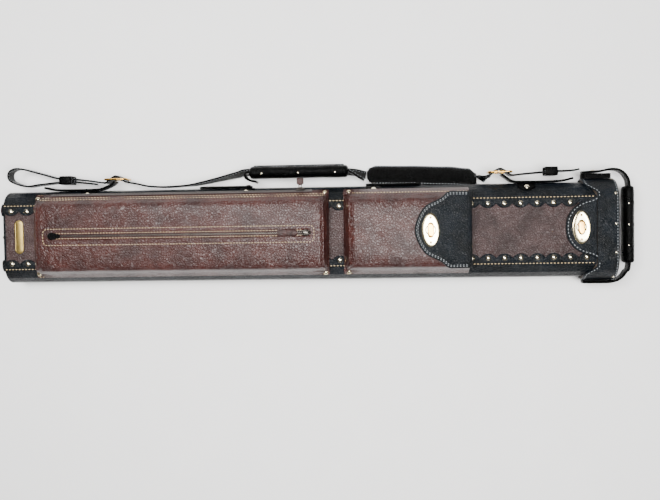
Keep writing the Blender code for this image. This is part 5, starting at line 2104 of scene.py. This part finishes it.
def side_lobe(name: str, x: float, half: float) -> None:
    """Makes a rounded leather lobe that laps from the side onto the front curve, with its rivet.

    Args:
        name: The piece's name.
        x: X of its middle.
        half: Half of its width.
    """
    rows = []
    start, end = 0.0725, 0.056  # round the section: under the anchor, and the lobe's tip
    for k in range(17):
        s = start + (end - start) * k / 16
        share = math.sqrt(max(1 - max((start - 0.008 - s) / (start - 0.008 - end), 0) ** 2, 0.03))
        ring = []
        for u, lift in ((-1, 0.0002), (-1, 0.0012), (-0.94, 0.0018), (-0.5, 0.0021), (0, 0.0021),
                (0.5, 0.0021), (0.94, 0.0018), (1, 0.0012), (1, 0.0002)):
            place, _ = SECTION.at(s, lift if k < 16 else min(lift, 0.0012))
            ring.append(Vector((x + half * share * u, place.y, place.z)))
        rows.append(ring)
    piece_from(name, closed_skin(rows), STRAP, CASE, smooth=60)
    place, up = SECTION.at(0.0622, 0.002)
    Stud(radius=0.0036, height=0.0019).drive(name + "_rivet", [(Vector((x, place.y, place.z)), up)], CASE)


@dataclass
class ShoulderStrap:
    """The shoulder strap: two halves through buckles and keepers, with a pad between them."""

    width: float = 0.02
    thickness: float = 0.0022
    left: tuple[tuple[float, float, float, float], ...] = ((0.088, 0.083, 0.0097, 0.5),
        (0.064, 0.088, 0.0097, 0.42), (-0.01, 0.0905, 0.0097, 0.42), (-0.0817, 0.0905, 0.0097, 0.42),
        (-0.1, 0.0868, 0.0125, 0.35), (-0.125, 0.0805, 0.02, 0.2), (-0.15, 0.0748, 0.026, 0.1),
        (-0.17, 0.0715, 0.0325, 0), (-0.2, 0.07, 0.0325, 0), (-0.225, 0.0715, 0.0325, 0),
        (-0.242, 0.0752, 0.0325, 0), (-0.255, 0.0775, 0.0325, 0), (-0.26, 0.0796, 0.0325, 0),
        (-0.265, 0.0836, 0.0325, 0), (-0.272, 0.0868, 0.0325, 0), (-0.279, 0.0836, 0.0325, 0),
        (-0.284, 0.0796, 0.0325, 0), (-0.289, 0.0775, 0.0325, 0), (-0.31, 0.0805, 0.0325, 0),
        (-0.34, 0.0842, 0.0325, 0), (-0.358, 0.085, 0.0325, 0), (-0.385, 0.0925, 0.0325, 0),
        (-0.414, 0.1, 0.0325, 0), (-0.427, 0.098, 0.0325, 0), (-0.4316, 0.0905, 0.0325, 0),
        (-0.427, 0.0815, 0.0325, 0), (-0.406, 0.0745, 0.0325, 0), (-0.385, 0.0765, 0.0325, 0),
        (-0.358, 0.079, 0.0325, 0), (-0.336, 0.0795, 0.0325, 0), (-0.318, 0.0778, 0.0325, 0),
        (-0.302, 0.0758, 0.0325, 0))
    right: tuple[tuple[float, float, float, float], ...] = ((0.249, 0.0745, 0.019, 0.5),
        (0.254, 0.0765, 0.026, 0.2), (0.259, 0.0775, 0.0325, 0), (0.264, 0.0796, 0.0325, 0),
        (0.269, 0.0836, 0.0325, 0), (0.276, 0.0868, 0.0325, 0), (0.283, 0.0836, 0.0325, 0),
        (0.288, 0.0796, 0.0325, 0), (0.293, 0.0775, 0.0325, 0), (0.31, 0.079, 0.0325, 0),
        (0.346, 0.0815, 0.0325, 0), (0.374, 0.0825, 0.0325, 0), (0.386, 0.0842, 0.0325, 0))
    buckles: tuple[tuple[str, float], ...] = (("left", -0.272), ("right", 0.276))
    keepers: tuple[tuple[str, float], ...] = (("left", -0.346), ("right", 0.3465))

    def build(self) -> None:
        """Makes both halves, the pad, the buckles, the keepers and the anchors."""
        for name, stops in (("left", self.left), ("right", self.right)):
            self.make_half(name, stops)
        self.make_pad()
        for name, x in self.buckles:
            self.make_buckle(name, x)
        for name, x in self.keepers:
            self.make_keeper(name, x)
        for name, side, far in (("left", -1, 0.378), ("right", 1, 0.3765)):
            self.make_anchor(name, side, far)

    def make_half(self, name: str, stops: Sequence[Sequence[float]]) -> None:
        """Makes one half of the strap with its stitches.

        Args:
            name: left or right.
            stops: (x, y, z, lean) along its middle.
        """
        smooth = curve_through(stops, 9)
        path = [Vector(p[:3]) for p in smooth]
        leans = [p[3] for p in smooth]
        tip = (lambda t: math.sqrt(max(1 - max((t - 0.985) / 0.015, 0) ** 2, 0.05)))
        rows = ribbon_rows(path, leans, self.width, self.thickness, 0.0, tip)
        strap = piece_from("shoulder_strap_" + name + "_leather", closed_skin(rows), STRAP, CASE, smooth=50)
        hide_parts("shoulder_strap_" + name)
        work = bmesh.new()
        for edge in (1, -1):
            for face in (1, -1):
                row, outs = strap_row(path, edge * (self.width / 2 - 0.002), face * self.thickness / 2, leans)
                add_row(work, row, [o * face for o in outs], FINE_STITCH)
        piece_from("shoulder_strap_" + name + "_stitches", work, GREY_THREAD, CASE, smooth=80)

    def make_pad(self) -> None:
        """Makes the stuffed shoulder pad: two skins sewn together round its edge."""
        lean = math.radians(60)
        across = Vector((0, math.sin(lean), -math.cos(lean)))
        out = Vector((0, math.cos(lean), math.sin(lean)))
        stops = ((0.0895, 0.006, 0.083), (0.0935, 0.0125, 0.0828), (0.102, 0.016, 0.0825),
            (0.15, 0.016, 0.0815), (0.205, 0.016, 0.0795), (0.236, 0.015, 0.0772), (0.2465, 0.009, 0.075))
        rows, upper_row, lower_row = [], [], []
        for k in range(91):
            x = stops[0][0] + (stops[-1][0] - stops[0][0]) * k / 90
            half = table([(s[0], s[1]) for s in stops], x)
            centre = Vector((x, table([(s[0], s[2]) for s in stops], x), 0.0111))
            end = ease(min(k, 90 - k) / 7)
            ring = []
            for a, b in ((-1.0, 0.0), (-0.99, 0.3), (-0.95, 0.42), (-0.89, 0.4), (-0.84, 0.56),
                    (-0.72, 0.86), (-0.45, 1.05), (0.0, 1.1), (0.45, 1.05), (0.72, 0.86), (0.84, 0.56),
                    (0.89, 0.4), (0.95, 0.42), (0.99, 0.3), (1.0, 0.0), (0.95, -0.35), (0.75, -0.75),
                    (0.3, -0.95), (-0.3, -0.95), (-0.75, -0.75), (-0.95, -0.35)):
                swell = 1 + 0.1 * noise.noise(Vector((x * 60, a * 1.6, 1.0)))
                ring.append(centre + across * (half * a) + out * (0.0031 * b * (0.35 + 0.65 * end) * swell))
            rows.append(ring)
            if 4 < k < 86:
                upper_row.append(centre + across * (-half * 0.89) + out * (0.0031 * 0.46))
                lower_row.append(centre + across * (half * 0.89) + out * (0.0031 * 0.46))
        pad = piece_from("shoulder_pad_leather", closed_skin(rows), STRAP, CASE, smooth=70)
        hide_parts("shoulder_pad")
        work = bmesh.new()
        for row in (upper_row, lower_row):
            FINE_STITCH.add(work, row, lambda p: out)
        piece_from("shoulder_pad_stitches", work, GREY_THREAD, CASE, smooth=80)

    def make_buckle(self, name: str, x: float) -> None:
        """Makes one buckle: a cast frame and its bar.

        Args:
            name: left or right.
            x: X of its middle.
        """
        y, z = 0.0822, SECTION.middle
        work = bmesh.new()
        loop = [Vector((x + px, y, z + pz)) for px, pz in rounded_box((0.0, 0.0), (0.0314, 0.0266), 0.0045,
            6)]
        rows = []
        for i, here in enumerate(loop):
            way = (loop[(i + 1) % len(loop)] - loop[i - 1]).normalized()
            side = Vector((0, 1, 0))
            other = way.cross(side)
            rows.append([here + side * (0.0014 * math.cos(a)) + other * (0.0014 * math.sin(a))
                for a in (2 * math.pi * k / 10 for k in range(10))])
        lofted(rows, closed_rows=True, work=work, close_loft=True)
        wire(work, [Vector((x, y, z - 0.0133 + 0.0266 * k / 8)) for k in range(9)], 0.0012)
        frame = piece_from("buckle_" + name + "_frame", face_outwards(work), GOLD, CASE, smooth=50)
        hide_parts("buckle_" + name)

    def make_keeper(self, name: str, x: float) -> None:
        """Makes one keeper: a sewn leather loop round both layers of the strap.

        Args:
            name: left or right.
            x: X of its middle.
        """
        rows = []
        for share in (-1.0, -0.97, -0.9, 0.0, 0.9, 0.97, 1.0):
            rise = 1.0 if abs(share) < 0.93 else 0.8 if abs(share) < 0.99 else 0.35
            outer = [Vector((x + 0.0086 * share, y, z)) for y, z in rounded_box((0.0821, SECTION.middle),
                (0.0094 + 0.003 * rise, 0.021 + 0.003 * rise), 0.0028, 6)]
            rows.append(outer)
        for share in (1.0, -1.0):
            rows.append([Vector((x + 0.0086 * share, y, z)) for y, z in rounded_box((0.0821,
                SECTION.middle), (0.0095, 0.0211), 0.0014, 6)])
        keeper = piece_from("keeper_" + name + "_loop", face_outwards(lofted(rows, closed_rows=True,
            close_loft=True)), STRAP, CASE, smooth=50)
        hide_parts("keeper_" + name)

    def make_anchor(self, name: str, side: int, far: float) -> None:
        """Makes the strap that holds a buckle to the case's side.

        Args:
            name: left or right.
            side: 1 or -1.
            far: Distance of its far end from the middle of the case.
        """
        buckle_x = dict(self.buckles)[name]
        stops = ((side * far, 0.0718), (side * (far - 0.012), 0.069), (side * (far - 0.028), 0.0678),
            (side * 0.305, 0.0678), (side * 0.2925, 0.0692), (buckle_x + side * 0.0085, 0.0742),
            (buckle_x + side * 0.0022, 0.0788))
        path = curve_through([(x, y, SECTION.middle) for x, y in stops], 9)
        rows = ribbon_rows(path, [0.0] * len(path), self.width - 0.002, 0.003)
        anchor = piece_from("strap_anchor_" + name + "_leather", closed_skin(rows), STRAP, CASE, smooth=50)
        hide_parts("strap_anchor_" + name)
        side_lobe("strap_lobe_" + name, side * 0.3105, 0.012)


# ---------------------------------------------------------------- the whole case
def main() -> None:
    """Builds every sub-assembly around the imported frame."""
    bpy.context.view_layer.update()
    Studio().build()
    for assembly in (Body(), Trims(), Pockets(), FrontZip(), FlankZip(), LidFlap(), PocketFlap(), Lid(),
            EndHandle(), CarryHandle(), ShoulderStrap()):
        assembly.build()
        LOG.info("%s is built", type(assembly).__name__)


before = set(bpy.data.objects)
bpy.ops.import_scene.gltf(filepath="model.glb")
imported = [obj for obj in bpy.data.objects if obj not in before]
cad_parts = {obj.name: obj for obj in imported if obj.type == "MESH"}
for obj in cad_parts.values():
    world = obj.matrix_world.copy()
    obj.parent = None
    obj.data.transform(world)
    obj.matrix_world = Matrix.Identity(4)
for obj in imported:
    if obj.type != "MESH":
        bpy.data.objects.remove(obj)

if __name__ == "__main__":
    logging.basicConfig(level=logging.INFO, format="%(message)s")
    main()
